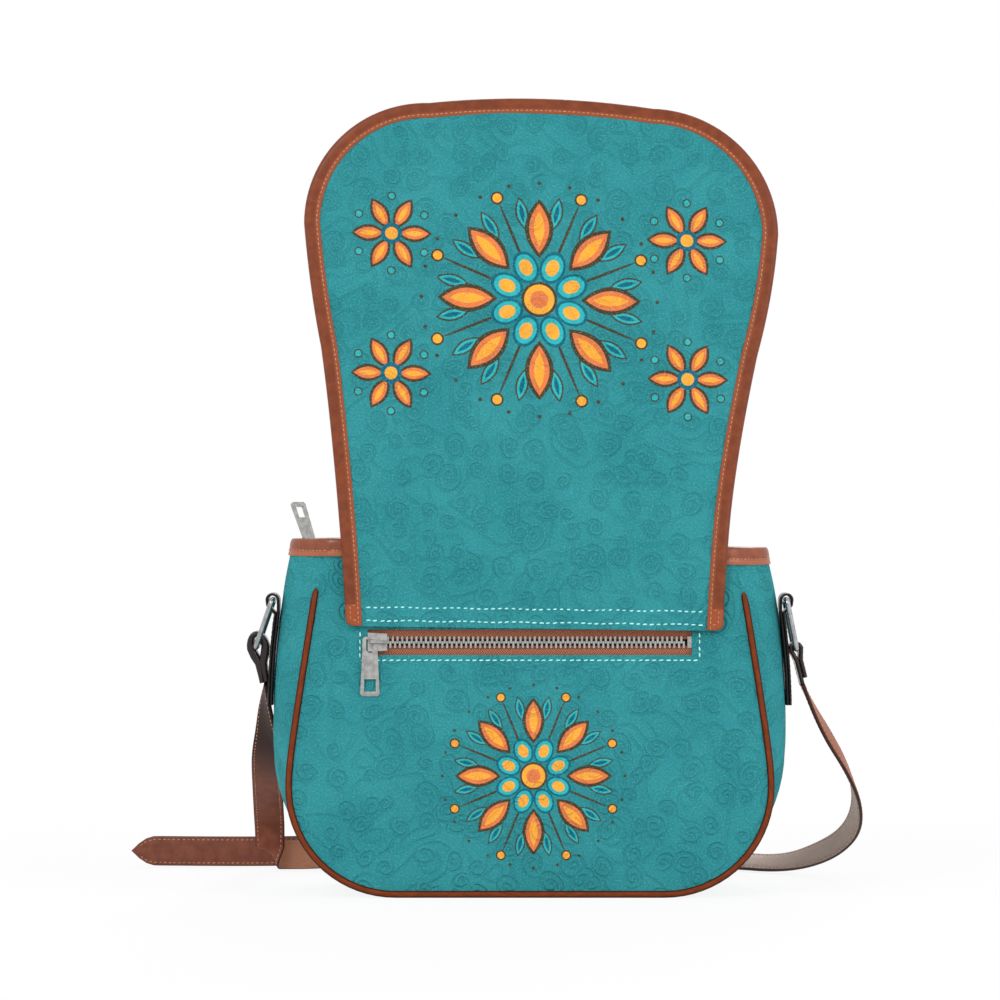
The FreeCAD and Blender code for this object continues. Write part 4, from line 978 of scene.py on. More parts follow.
RIM_PROFILE = (
    (0.1, -9.0), (0.95, -9.1), (1.3, -8.3), (1.25, -6.6), (1.0, -5.8), (1.25, -5.0), (1.5, -2.2),
    (1.3, -0.2), (0.7, 0.8), (-0.3, 1.15), (-1.7, 1.15), (-2.7, 0.8), (-3.2, -0.2), (-3.4, -2.4),
    (-3.2, -5.6), (-3.2, -12.4), (-2.9, -13.1), (-2.1, -13.0), (-2.05, -0.2), (0.05, -0.2),
)
RIM_STITCH = (1.15, -5.8)
RIM_CORNER_LIFT = 2.4
RIM_CORNER_REACH = 9.0
RIM_INSIDE_SHARE = 0.6
RIM_OUTER_FACE = -1.0
RIM_WALL_INSET = 2.0
RIM_WALL_STEPS = 40
RIM_SIDE_STEPS = 25
RIM_SIDE_SHARE = 0.9
RIM_SIDE_FROM = (100.0, 135.0)
RIM_SIDE_LEAN = 0.21
RIM_SMOOTHINGS = 2
RIM_SWELL = SimpleNamespace(share=0.1, scale=0.05)


def rim_path():
    """Places on the rim and the direction up its wall, all the way round."""
    edge = outline_path(PANEL, SLOPE)[-1]
    middle = outline_path(GUSSET, BODY_HEIGHT)[-1]
    wall_half = edge.x - RIM_WALL_INSET
    loop = []
    for side in (1, -1):
        mirrored = Vector((side * edge.x, edge.y)), Vector((side * middle.x, middle.y))
        wall = [on_back(x, 0, SLOPE) for x in spaced(-wall_half, wall_half, RIM_WALL_STEPS)]
        loop += [settle(Vector((side * p.x, side * p.y, p.z))) for p in wall]
        for depth in spaced(-RIM_SIDE_SHARE, RIM_SIDE_SHARE, RIM_SIDE_STEPS):
            loop.append(gusset_point(*mirrored, side * depth))
    for _ in range(RIM_SMOOTHINGS):
        count = len(loop)
        rounded = []
        for i, point in enumerate(loop):
            around = (loop[i - 1] + loop[(i + 1) % count]) / 2
            rounded.append((point + around) / 2)
        loop = rounded
    ups = []
    for point in loop:
        side = ease(abs(point.x), *RIM_SIDE_FROM)
        lean_across = -math.copysign(RIM_SIDE_LEAN * side, point.x)
        lean_deep = -math.copysign(math.tan(LEAN) * (1 - side), point.y)
        ups.append(Vector((lean_across, lean_deep, 1)).normalized())
    return loop, ups


def make_rim():
    loop, ups = rim_path()
    ahead = directions(loop, True)
    runs = lengths_along(loop)
    sections, lay = [], []
    row, normals = [], []
    for point, up, along, run in zip(loop, ups, ahead, runs):
        out = along.cross(up).normalized()
        corner = Vector((math.copysign(PANEL.half_top, point.x), math.copysign(HALF_MOUTH, point.y), point.z))
        step_out = RIM_CORNER_LIFT * bell((point - corner).length, 0, RIM_CORNER_REACH)
        swell = 1 + RIM_SWELL.share * noise.noise(Vector((run * RIM_SWELL.scale, 0, 0)))
        ring = []
        for o, u in RIM_PROFILE:
            shift = step_out if o > RIM_OUTER_FACE else -step_out * RIM_INSIDE_SHARE
            ring.append(point + out * (o * swell + shift) + up * u)
        sections.append(ring)
        lay += [(u, run, BODY_HEIGHT) for o, u in RIM_PROFILE]
        row.append(point + out * (RIM_STITCH[0] + step_out) + up * RIM_STITCH[1])
        normals.append(out)
    faces = swept(sections, True)
    made = piece("rim_binding", flat(sections), faces, RIM_LEATHER, lay, LEATHER_CREASE)
    nodes = [f"rim_binding_{side}" for side in ("back", "front", "left", "right")]
    fasten(made, "bag", *nodes)
    whole_row = (row + row[:1], normals + normals[:1])
    seam = sew("rim_stitches", [whole_row], TAN_THREAD, EDGE_STITCH)
    fasten(seam, "bag")


# Flap

FLAP_FLAT_HALF = FLAP.half - FLAP.corner
CROWN_RADIUS = (FLAP_FLAT_HALF ** 2 + FLAP.crown ** 2) / (2 * FLAP.crown)


def flap_half(up, inset=0.0):
    """Half-width of the flap's outline moved inwards by inset."""
    if up < FLAP.shoulder:
        share = (up - FLAP.foot) / (FLAP.shoulder - FLAP.foot)
        return mix(FLAP.half_foot, FLAP.half_shoulder, share) - bowed(FLAP.waist_bow, share) - inset
    if up < FLAP.corner_at:
        share = (up - FLAP.shoulder) / (FLAP.corner_at - FLAP.shoulder)
        return mix(FLAP.half_shoulder, FLAP.half, share) + bowed(FLAP.shoulder_bow, share) - inset
    radius = FLAP.corner - inset
    rise = up - FLAP.corner_at
    if rise < radius:
        return FLAP_FLAT_HALF + math.sqrt(radius ** 2 - rise ** 2)
    sink = max(FLAP.corner_at + radius + FLAP.crown - up, 0.0)
    return math.sqrt(sink * (2 * CROWN_RADIUS - sink))


# Stand of the open flap: its lean to the right, its pressed foot, a soft wave and the drop of its right side
FLAP_LEAN = SimpleNamespace(foot=2.6, more=4.0, up=(205.0, 370.0))
FLAP_PRESSED = SimpleNamespace(depth=1.3, up=(FLAP.foot + 8.0, FLAP.foot + 42.0))
FLAP_HOLLOW = SimpleNamespace(depth=1.6, up=226.0, reach=16.0)
FLAP_SWELL = SimpleNamespace(height=1.2, up=300.0, reach=45.0)
FLAP_TILT = SimpleNamespace(shares=(0.013, 0.026), up=(FLAP.foot, FLAP.foot + 230.0))


def flap_middle(up):
    """Middle of the flap at a height; the open flap leans a little to the right."""
    return FLAP_LEAN.foot + FLAP_LEAN.more * ease(up, *FLAP_LEAN.up)


def flap_settle(up):
    """How far the flap stands out from the level of its solid: pressed on at its foot, a soft wave above."""
    pressed = -FLAP_PRESSED.depth * (1 - ease(up, *FLAP_PRESSED.up))
    hollow = -FLAP_HOLLOW.depth * bell(up, FLAP_HOLLOW.up, FLAP_HOLLOW.reach)
    swell = FLAP_SWELL.height * bell(up, FLAP_SWELL.up, FLAP_SWELL.reach)
    return pressed + hollow + swell


def on_flap(across, out, up):
    """Point of the flap; its right side hangs a little lower than its left, most at the tip."""
    tilt = mix(*FLAP_TILT.shares, ease(up, *FLAP_TILT.up))
    return on_back(flap_middle(up) + across, out + flap_settle(up), up - across * tilt)


FLAP_ROW_SPACING = 4.0
FLAP_CORNER_STEPS = 18
CROWN_ROW_SHARES = (0.5, 0.8, 0.97)


def flap_ups(low, high, inset):
    """Heights of the flap's rows, closer where its corner turns."""
    end = min(high, FLAP.corner_at)
    marks = spaced(low, end, max(int((end - low) / FLAP_ROW_SPACING), LEAST_ROWS))
    if high <= FLAP.corner_at:
        return marks
    radius = FLAP.corner - inset
    for step in range(1, FLAP_CORNER_STEPS + 1):
        marks.append(FLAP.corner_at + radius * math.sin(math.pi / 2 * step / FLAP_CORNER_STEPS))
    crown = FLAP.corner_at + radius + FLAP.crown
    return marks + [mix(marks[-1], crown, share) for share in CROWN_ROW_SHARES]


# The low length bends from the bag to the bridge at the back rim, the high one from the bridge to the
# long front at the front rim; parts are the solids that a length stands for
FOLD_REACH = 14.0
PAST_TIP = 1000.0
FLAP_LENGTHS = (
    SimpleNamespace(
        name="low", low=FLAP.foot, high=FLAP_SPLIT, fold=FOLD_ONE, bodies=("bag", "flap_bridge"),
        parts=("base", "bridge"),
    ),
    SimpleNamespace(
        name="high", low=FLAP_SPLIT, high=PAST_TIP, fold=FOLD_TWO, bodies=("flap_bridge", "flap_front"),
        parts=("front",),
    ),
)


def bend(made, length, layer=None):
    """Bakes a layer of the flap into place and hides the solids that the layer stands for, if any."""
    start = on_back(0, 0, length.fold - FOLD_REACH)
    end = on_back(0, 0, length.fold + FOLD_REACH)
    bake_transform(made)
    if layer:
        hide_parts(*[f"flap_{part}_{layer}" for part in length.parts])


# Layers of the flap: height out, thickness and puff
FLAP_OUTSIDE = SimpleNamespace(out=4.75, depth=-1.4, puff=0.5)
FLAP_INSIDE = SimpleNamespace(out=2.55, depth=0.7, puff=-0.2)
FLAP_INSET = 2.0
FLAP_COLUMNS = 46
FLAP_WAVE = SimpleNamespace(scale=0.018, depth=0.6, seed=7.0, up=(FLAP.foot, FLAP.foot + 20.0))


def flap_sheet(name, length, layer, cloth):
    rows, lay = [], []
    for up in flap_ups(length.low, length.high, FLAP_INSET):
        half = flap_half(up, FLAP_INSET)
        row, row_lay = [], []
        for share in spaced(-1, 1, FLAP_COLUMNS):
            crown = layer.puff * (1 - share ** 6)
            spot = Vector((half * share, up, FLAP_WAVE.seed))
            wave = noise.noise(spot * FLAP_WAVE.scale) * FLAP_WAVE.depth * (1 - share ** 4)
            lift = (crown + wave) * ease(up, *FLAP_WAVE.up)
            row.append(on_flap(half * share, layer.out + lift, up))
            row_lay.append((flap_middle(up) + half * share, up, 0))
        rows.append(row)
        lay.append(row_lay)
    return sheet(name, rows, layer.depth, lay, cloth)


# Leather folded round the flap's edge: distance in from the edge, then height out
BINDING_WIDTH = 9.0
BINDING_PROFILE = (
    (9.0, 4.7), (8.8, 5.4), (8.3, 5.75), (7.7, 5.7), (7.1, 5.5), (6.5, 5.75), (4.4, 6.05), (2.0, 5.9),
    (0.7, 5.4), (0.0, 4.4), (-0.2, 3.6), (0.1, 2.6), (0.8, 1.8), (2.0, 1.4), (4.0, 1.3), (5.8, 1.45),
    (7.1, 1.6), (7.7, 1.45), (8.4, 1.5), (8.8, 1.8), (9.0, 2.5), (1.4, 2.5), (1.4, 4.7),
)
BINDING_MIDDLE = 3.6
BINDING_STITCH = 7.1
BINDING_STITCH_OUT = 5.62
LINING_STITCH_OUT = 1.52
FOOT_CORNER = 4.0
FOOT_STITCH_INSET = 2.8
FOOT_STITCH_OUT = 6.0
FOOT_STITCH_UPS = (154.3, 162.6)
FOOT_STITCH_STEPS = 6
EDGE_SPACING = 2.5
EDGE_FOOT_STEPS = 9
EDGE_CORNER_STEPS = 30
EDGE_CROWN_STEPS = 24


def flap_edge(low, high):
    """Edge of the flap as right-hand points (across, up), from low upwards."""
    if high <= FLAP.corner_at:
        foot = low + FOOT_CORNER
        ups = spaced(low, foot, EDGE_FOOT_STEPS)[:-1] + spaced(foot, high, int((high - low) / EDGE_SPACING))
        return [Vector((flap_half(up), up)) for up in ups]
    ups = spaced(low, FLAP.corner_at, int((FLAP.corner_at - low) / EDGE_SPACING))
    side = [Vector((flap_half(up), up)) for up in ups]
    for step in range(1, EDGE_CORNER_STEPS + 1):
        turn = math.pi / 2 * step / EDGE_CORNER_STEPS
        x = FLAP_FLAT_HALF + FLAP.corner * math.cos(turn)
        side.append(Vector((x, FLAP.corner_at + FLAP.corner * math.sin(turn))))
    top = FLAP.corner_at + FLAP.corner + FLAP.crown
    for x in spaced(FLAP_FLAT_HALF, 0, EDGE_CROWN_STEPS)[1:]:
        side.append(Vector((x, top - CROWN_RADIUS + math.sqrt(CROWN_RADIUS ** 2 - x ** 2))))
    return side


def edge_runs(low, high):
    """Paths of the flap's edge: both sides of the low length, or one path over the tip."""
    right = flap_edge(low, high)
    left = [Vector((-p.x, p.y)) for p in right]
    if high <= FLAP.corner_at:
        return [right, left[::-1]]
    return [right + left[-2::-1]]


def inwards(path):
    """Direction in from the flap's edge at each point of a path."""
    return [Vector((-d.y, d.x)) for d in directions(path)]


def binding_sections(path):
    """Sections of the folded leather along a path; its foot has a rounded corner."""
    runs = lengths_along(path)
    sections, lay = [], []
    for place, into, run in zip(path, inwards(path), runs):
        cut = 0.0
        above = max(place.y - FLAP.foot, 0.0)
        if above < FOOT_CORNER:
            cut = FOOT_CORNER - math.sqrt(FOOT_CORNER ** 2 - (FOOT_CORNER - above) ** 2)
        ring = []
        for inset, out in BINDING_PROFILE:
            real = cut + inset * (BINDING_WIDTH - cut) / BINDING_WIDTH
            spot = place + into * real
            ring.append(on_flap(spot.x, out, spot.y))
            lay.append((inset if out > BINDING_MIDDLE else -inset, run, above))
        sections.append(ring)
    return sections, lay


def flap_stitch_rows(path):
    rows = []
    for out, normal in ((BINDING_STITCH_OUT, BACK_OUT), (LINING_STITCH_OUT, -BACK_OUT)):
        row = []
        for place, into in zip(path, inwards(path)):
            spot = place + into * BINDING_STITCH
            row.append(on_flap(spot.x, out, spot.y))
        rows.append((row, [normal] * len(row)))
    return rows


def make_foot_stitches():
    """Second sewing round the patches at the flap's two feet."""
    column = [(FOOT_STITCH_INSET, up) for up in spaced(*FOOT_STITCH_UPS, FOOT_STITCH_STEPS)]
    insets = spaced(FOOT_STITCH_INSET, BINDING_STITCH, FOOT_STITCH_STEPS)
    paths = [column] + [[(inset, end) for inset in insets] for end in FOOT_STITCH_UPS]
    rows = []
    for side in (-1, 1):
        for path in paths:
            row = [on_flap(side * flap_half(up, inset), FOOT_STITCH_OUT, up) for inset, up in path]
            rows.append((row, [BACK_OUT] * len(row)))
    fasten(sew("flap_foot_stitches", rows, TAN_THREAD, EDGE_STITCH), "bag")


def make_flap():
    for length in FLAP_LENGTHS:
        name = length.name
        cloth = flap_sheet(f"flap_cloth_{name}", length, FLAP_OUTSIDE, FLAP_CLOTH)
        bend(cloth, length, "panel")
        lining = flap_sheet(f"flap_lining_{name}", length, FLAP_INSIDE, LINING)
        bend(lining, length, "lining")
        points, faces, lay, rows = [], [], [], []
        for path in edge_runs(length.low, length.high):
            sections, more_lay = binding_sections(path)
            faces += shifted(swept(sections), len(points))
            points += flat(sections)
            lay += more_lay
            rows += flap_stitch_rows(path)
        binding = piece(f"flap_binding_{name}", points, faces, BINDING, lay, LEATHER_CREASE)
        bend(binding, length, "binding")
        seam = sew(f"flap_stitches_{name}", rows, TAN_THREAD, EDGE_STITCH)
        bend(seam, length)


# Seam rows that hold the flap and the zip
FLAP_SEAM = SimpleNamespace(ups=(154.3, 161.8), inset=0.6, out=4.85, steps=60, wobble=0.25, wobble_scale=0.21)
ZIP_SEAM = SimpleNamespace(below=3.0, under_flap=0.5, aside=4.2, out=0.25, steps=40)


def make_seams():
    rows = []
    for up in FLAP_SEAM.ups:
        half = flap_half(up) - BINDING_WIDTH - FLAP_SEAM.inset
        row = []
        for x in spaced(-half, half, FLAP_SEAM.steps):
            wobble = FLAP_SEAM.wobble * math.sin(x * FLAP_SEAM.wobble_scale + up)
            row.append(on_flap(x, FLAP_SEAM.out, up + wobble))
        rows.append((row, [BACK_OUT] * len(row)))
    low = ZIP.up - ZIP.half_height - ZIP_SEAM.below
    high = FLAP.foot - ZIP_SEAM.under_flap
    half = ZIP.half_width + ZIP_SEAM.aside
    corners = [(-half, high), (-half, low), (half, low), (half, high)]
    for (x, up), (x_end, up_end) in zip(corners, corners[1:]):
        row = []
        for share in spaced(0, 1, ZIP_SEAM.steps):
            row.append(on_back(mix(x, x_end, share), ZIP_SEAM.out, mix(up, up_end, share)))
        rows.append((row, [BACK_OUT] * len(row)))
    made = sew("pale_stitches", rows, PALE_THREAD, SEAM_STITCH)
    fasten(made, "bag")


# Zip tapes

CHAIN_EDGE = 3.35
TAPE_SHEET = 0.6
TAPE_CORD = SimpleNamespace(at=1.0, reach=0.7)
POCKET_TAPE = SimpleNamespace(
    hidden=5.0, lift=0.2, cord=0.15, wave=0.08, along_scale=0.08, up_scale=0.2, seed=3.0, rows=14, columns=70
)
MOUTH_TAPE = SimpleNamespace(
    level=187.0, lift=0.3, cord=0.1, wave=0.12, along_scale=0.05, deep_scale=0.1, sag=0.7, clear=0.3,
    half=131.0, half_at_wall=111.0, end_bow=3.0, end_flat=12.0, rows=12, columns=60,
)


def tape_cord(distance, height):
    """Woven cord that stiffens a tape next to its teeth."""
    return height * bell(distance, TAPE_CORD.at, TAPE_CORD.reach)


def make_pocket_tapes():
    tape = POCKET_TAPE
    half = ZIP.half_width + tape.hidden
    for name, side in (("upper", 1), ("lower", -1)):
        rows, lay = [], []
        for distance in spaced(0, ZIP.half_height + tape.hidden - CHAIN_EDGE, tape.rows):
            up = ZIP.up + side * (CHAIN_EDGE + distance)
            row, row_lay = [], []
            for x in spaced(-half, half, tape.columns):
                spot = Vector((x * tape.along_scale, up * tape.up_scale, tape.seed))
                lift = tape.lift + tape_cord(distance, tape.cord) + tape.wave * noise.noise(spot)
                row.append(on_back(x, -ZIP.depth + lift, up))
                row_lay.append((x, distance, 0))
            rows.append(row)
            lay.append(row_lay)
        made = sheet(f"pocket_tape_{name}", rows, -TAPE_SHEET * side, lay, ZIP_TAPE)
        fasten(made, "bag", f"pocket_zip_tape_{name}")


def make_mouth_tapes():
    tape = MOUTH_TAPE
    wall = HALF_BASE - tape.level * math.tan(LEAN) - WALL / COS_LEAN - tape.clear
    for name, side in (("back", -1), ("front", 1)):
        rows, lay = [], []
        for share in spaced(0, 1, tape.rows):
            y = mix(CHAIN_EDGE, wall, share)
            end = mix(tape.half, tape.half_at_wall, share) + bowed(tape.end_bow, share)
            row, row_lay = [], []
            for along in spaced(-end, end, tape.columns):
                wave = 1 + noise.noise(Vector((along * tape.along_scale, y * tape.deep_scale, side)))
                sag = tape.sag * math.sin(math.pi * share) + tape.wave * wave
                hang = sag * ease(end - abs(along), 0, tape.end_flat)
                lift = tape.lift + tape_cord(y - CHAIN_EDGE, tape.cord) - hang
                row.append(Vector((along, side * y, tape.level + lift)))
                row_lay.append((along, y, 0))
            rows.append(row)
            lay.append(row_lay)
        made = sheet(f"mouth_tape_{name}", rows, -TAPE_SHEET * side, lay, ZIP_TAPE)
        fasten(made, "bag", f"mouth_zip_tape_{name}")


# Leather strips: tabs, strap ends, strap lengths and keeper

STRIP_SHARES = (
    (-1.0, 0.0), (-0.985, 0.5), (-0.93, 0.88), (-0.86, 0.97), (-0.78, 0.8), (-0.7, 0.97), (-0.4, 1.02),
    (0.0, 1.04), (0.4, 1.02), (0.7, 0.97), (0.78, 0.8), (0.86, 0.97), (0.93, 0.88), (0.985, 0.5), (1.0, 0.0),
)
STITCH_SHARE = 0.78
STITCH_LIFT_SHARE = 0.39


def strip_frames(centres, acrosses, closed=False):
    """Centre, direction across and direction out of the strip's face at each place."""
    found = []
    for centre, across, along in zip(centres, acrosses, directions(centres, closed)):
        normal = along.cross(across).normalized()
        found.append((centre, normal.cross(along).normalized(), normal))
    return found


# Corners round a hole as (section, column) steps, and the three middle columns of both faces
HOLE_STEPS = ((-1, -1), (-1, 0), (-1, 1), (0, 1), (1, 1), (1, 0), (1, -1), (0, -1))
HOLE_COLUMNS = ((6, 7, 8), (22, 21, 20))


def bore(sections, faces, frames, holes, radius):
    """Faces of a strip with round holes; the corners next to a hole's middle section move onto its rim."""
    size = len(sections[0])
    middles, walls = set(), []
    for hole in holes:
        centre, across, normal = frames[hole]
        along = across.cross(normal)
        rims = []
        for columns in HOLE_COLUMNS:
            middles.add(hole * size + columns[1])
            lift = (sections[hole][columns[1]] - centre).dot(normal)
            rim = []
            for ahead, aside in HOLE_STEPS:
                spoke = (across * aside + along * ahead).normalized() * radius
                sections[hole + ahead][columns[1 + aside]] = centre + spoke + normal * lift
                rim.append((hole + ahead) * size + columns[1 + aside])
            rims.append(rim)
        upper, lower = rims
        for k in range(len(HOLE_STEPS)):
            walls.append((upper[k - 1], upper[k], lower[k], lower[k - 1]))
    return [face for face in faces if not middles.intersection(face)] + walls


def strip(name, frames, half, thick, finish, widths=None, closed=False, pads=None, holes=()):
    """Strip with rounded edges and sunken sewing lines; widths and pads are shares of width and thickness."""
    runs = lengths_along([f[0] for f in frames])
    ring_shares = list(STRIP_SHARES) + [(a, -l) for a, l in reversed(STRIP_SHARES[1:-1])]
    sections, lay = [], []
    for i, (centre, across, normal) in enumerate(frames):
        wide = widths[i] if widths else 1.0
        deep = thick / 2 * (pads[i] if pads else 1.0)
        ring = []
        for share, lift in ring_shares:
            ring.append(centre + across * (half * wide * share) + normal * (deep * lift))
            lay.append((half * share, runs[i], lift))
        sections.append(ring)
    faces = bore(sections, swept(sections, closed), frames, holes, STRAP_HOLE)
    return piece(name, flat(sections), faces, finish, lay, LEATHER_CREASE)


def strip_seams(name, frames, half, thick, finish, trim=0, widths=None):
    """Stitch rows near both edges on both faces of a strip."""
    rows = []
    shares = widths or [1.0] * len(frames)
    used = list(zip(frames, shares))[trim:len(frames) - trim]
    margin = half * (1 - STITCH_SHARE)
    for side in (-1, 1):
        for face in (-1, 1):
            row, normals = [], []
            for (centre, across, normal), share in used:
                inset = half * share - margin
                if inset > 0:
                    lift = face * thick * STITCH_LIFT_SHARE
                    row.append(centre + across * (inset * side) + normal * lift)
                    normals.append(normal * face)
            rows.append((row, normals))
    return sew(name, rows, finish, STRAP_STITCH)


EYE_UP = 166.0
EYE_RADIUS = 2.4
EYE_STEPS = 13
TAB = SimpleNamespace(
    half=9.0, sheet=1.6, gap=0.3, foot=106.0, neck=158.0, throat=163.0, tuck=0.1, bulge_share=0.9, steps=16,
    inner_sheets=0.5, outer_sheets=1.5,
)
TAB_SEAM = SimpleNamespace(
    foot=TAB.foot + 3.0, low=TAB.neck - 6.0, high=TAB.neck - 2.5, margin=2.0, cross_steps=8, steps=14,
    sheets=2.0, edge_sheets=1.88,
)
EYE_ACROSS = half_width(GUSSET, TAB.neck) + TAB.gap + EYE_RADIUS + TAB.sheet


def tab_across(up, sheets):
    """Distance from the middle to a place that lies some thicknesses out in a tab."""
    return half_width(GUSSET, up) + TAB.gap + TAB.sheet * sheets


def make_tab(name, side):
    """Strip sewn to the gusset, folded through the ring and back down on itself."""
    ups = spaced(TAB.foot, TAB.neck, TAB.steps)
    inner = [(tab_across(up, TAB.inner_sheets), up) for up in ups]
    outer = [(tab_across(up, TAB.outer_sheets), up) for up in ups]
    bend_radius = EYE_RADIUS + TAB.sheet / 2
    arc = []
    for turn in spaced(math.pi, 0, EYE_STEPS):
        arc.append((EYE_ACROSS + bend_radius * math.cos(turn), EYE_UP + bend_radius * math.sin(turn)))
    inner.append((inner[-1][0] - TAB.tuck, TAB.throat))
    outer.append((EYE_ACROSS + bend_radius * TAB.bulge_share, TAB.throat))
    path = inner + arc + outer[::-1]
    centres = [Vector((side * x, 0, up)) for x, up in path]
    frames = strip_frames(centres, [BACKWARDS] * len(centres))
    made = strip(f"{name}_tab_leather", frames, TAB.half, TAB.sheet, TAB_LEATHER)
    fasten(made, "bag", f"{name}_tab")
    seam_half = TAB.half - TAB_SEAM.margin
    paths = []
    for up in (TAB_SEAM.foot, TAB_SEAM.low, TAB_SEAM.high):
        x = tab_across(up, TAB_SEAM.sheets)
        paths.append([Vector((side * x, y, up)) for y in spaced(-seam_half, seam_half, TAB_SEAM.cross_steps)])
    for y in (-TAB.half * STITCH_SHARE, TAB.half * STITCH_SHARE):
        seam_ups = spaced(TAB_SEAM.foot, TAB_SEAM.high, TAB_SEAM.steps)
        paths.append([Vector((side * tab_across(up, TAB_SEAM.edge_sheets), y, up)) for up in seam_ups])
    rows = [(row, [Vector((side, 0, 0))] * len(row)) for row in paths]
    fasten(sew(f"{name}_tab_stitches", rows, BROWN_THREAD, TAB_STITCH), "bag")


RING_TILT = {1: math.radians(11.0), -1: math.radians(19.0)}
RING_HEIGHT = 28.5
RING_WIRE = 3.0
LEG_LEAN = {1: math.radians(14.0), -1: math.radians(-10.0)}
STRAP = SimpleNamespace(half=9.0, sheet=2.4, gap=0.25, leg=20.0)
STRAP_HOLE = 1.9
HOLE_CLEAR = 1.0
HOLE_ROW = -54.5
HOLE_PITCH = 25.0
HOLE_NUMBERS = (-2, -1, 0, 1, 2)


def bar_point(side):
    """Middle of a ring's lower bar."""
    hang = Matrix.Rotation(-side * RING_TILT[side], 3, "Y") @ Vector((0, 0, -RING_HEIGHT))
    return Vector((side * EYE_ACROSS, 0, EYE_UP)) + hang


# A loop's legs meet at this share of its reach below the bar; halfway there they have closed in by the other
MEET_SHARE = 2.2
CLOSING_SHARE = 0.7
LOOP_STEPS = SimpleNamespace(leg=6, turn=15, tail=5)


def loop_path(reach, rise, leg, tail, tail_side):
    """Centre line of a strap end round a bar at the origin, in its own (x, z) plane, from leg to tail."""
    half = STRAP.sheet / 2
    meet = -reach * MEET_SHARE
    turns = spaced(math.pi, 0, LOOP_STEPS.turn)
    path = [(-half, z) for z in spaced(-leg, meet, LOOP_STEPS.leg)]
    path += [(-reach * CLOSING_SHARE, meet / 2)]
    path += [(reach * math.cos(turn), rise * math.sin(turn)) for turn in turns]
    path += [(reach * CLOSING_SHARE, meet / 2)]
    path += [(half, z) for z in spaced(meet, -tail, LOOP_STEPS.tail)]
    return [(x * tail_side, z) for x, z in path]


def snug_bend(bar):
    """Radius of the centre line of a strap end that lies close round a bar."""
    return bar / 2 + STRAP.gap + STRAP.sheet / 2


# The left end is a loose padded loop set off its ring's middle, the right one lies close round its ring
SNUG = snug_bend(RING_WIRE)
END_LOOPS = {
    "left": SimpleNamespace(reach=4.2, rise=7.6, pad=0.95, set=1.0, tail=20.5),
    "right": SimpleNamespace(reach=SNUG, rise=SNUG, pad=0.0, set=0.0, tail=17.0),
}
PAD_REACH = 11.0


def end_place(name, side):
    """Where a strap end hangs on its ring's lower bar."""
    at = bar_point(side) + Vector((END_LOOPS[name].set, 0, 0))
    return Matrix.Translation(at) @ Matrix.Rotation(-side * LEG_LEAN[side], 4, "Y")


def strap_seams(name, frames, trim=0, widths=None):
    return strip_seams(name, frames, STRAP.half, STRAP.sheet, TAN_THREAD, trim, widths)


def make_strap_end(name, side):
    loop = END_LOOPS[name]
    place = end_place(name, side)
    path = loop_path(loop.reach, loop.rise, STRAP.leg, loop.tail, side)
    pads = [1 + loop.pad * bell(z, -loop.reach, PAD_REACH) for x, z in path]
    centres = [place @ Vector((x, 0, z)) for x, z in path]
    frames = strip_frames(centres, [BACKWARDS] * len(centres))
    made = strip(
        f"{name}_strap_end_leather", frames, STRAP.half, STRAP.sheet, DARK_END_LEATHER,
        pads=pads,
    )
    fasten(made, f"{name}_ring", f"{name}_strap_end")
    seam = strap_seams(f"{name}_strap_end_stitches", frames, 1)
    fasten(seam, f"{name}_ring")


def leg_end(name, side):
    """Place and width of the end of a strap end's long leg."""
    return end_place(name, side) @ Vector((-side * STRAP.sheet / 2, 0, -STRAP.leg)), BACKWARDS


# Routes of the strap as it lies behind the bag: place, then direction of its width, in metres
RIGHT_ROUTE = [
    ((0.1615, 0.0020, 0.1050), (0.08, 0.98, 0.12)),
    ((0.1710, 0.0060, 0.0880), (0.18, 0.94, 0.25)),
    ((0.1815, 0.0125, 0.0710), (0.12, 0.97, 0.12)),
    ((0.1895, 0.0230, 0.0530), (-0.04, 1.0, 0)),
    ((0.1905, 0.0380, 0.0360), (-0.26, 0.93, 0.08)),
    ((0.1825, 0.0580, 0.0220), (-0.22, 0.92, 0.24)),
    ((0.1680, 0.0820, 0.0120), (-0.12, 0.92, 0.36)),
    ((0.1500, 0.1040, 0.0056), (-0.04, 0.95, 0.28)),
    ((0.1280, 0.1190, 0.0054), (0, 0.93, 0.36)),
    ((0.1040, 0.1265, 0.0080), (0, 0.60, 0.80)),
    ((0.0760, 0.1295, 0.0094), (0, 0.12, 0.99)),
    ((0.0440, 0.1290, 0.0096), (0, 0, 1)),
    ((0.0120, 0.1260, 0.0106), (0, 0, 1)),
    ((-0.0160, 0.1216, 0.0122), (0, 0, 1)),
    ((-0.0340, 0.1200, 0.0126), (0, 0, 1)),
    ((-0.0430, 0.1202, 0.0126), (0, 0, 1)),
    ((-0.0500, 0.1235, 0.0126), (0, 0, 1)),
    ((-0.0560, 0.1280, 0.0126), (0, 0, 1)),
    ((-0.0640, 0.1302, 0.0126), (0, 0, 1)),
    ((-0.0760, 0.1312, 0.0126), (0, 0, 1)),
    ((-0.1000, 0.1330, 0.0120), (0, 0, 1)),
    ((-0.1300, 0.1360, 0.0104), (0, 0, 1)),
    ((-0.1640, 0.1396, 0.0096), (0, 0, 1)),
    ((-0.2000, 0.1434, 0.0094), (0, 0, 1)),
    ((-0.2270, 0.1460, 0.0094), (0, 0, 1)),
    ((-0.2410, 0.1473, 0.0094), (0, 0, 1)),
]
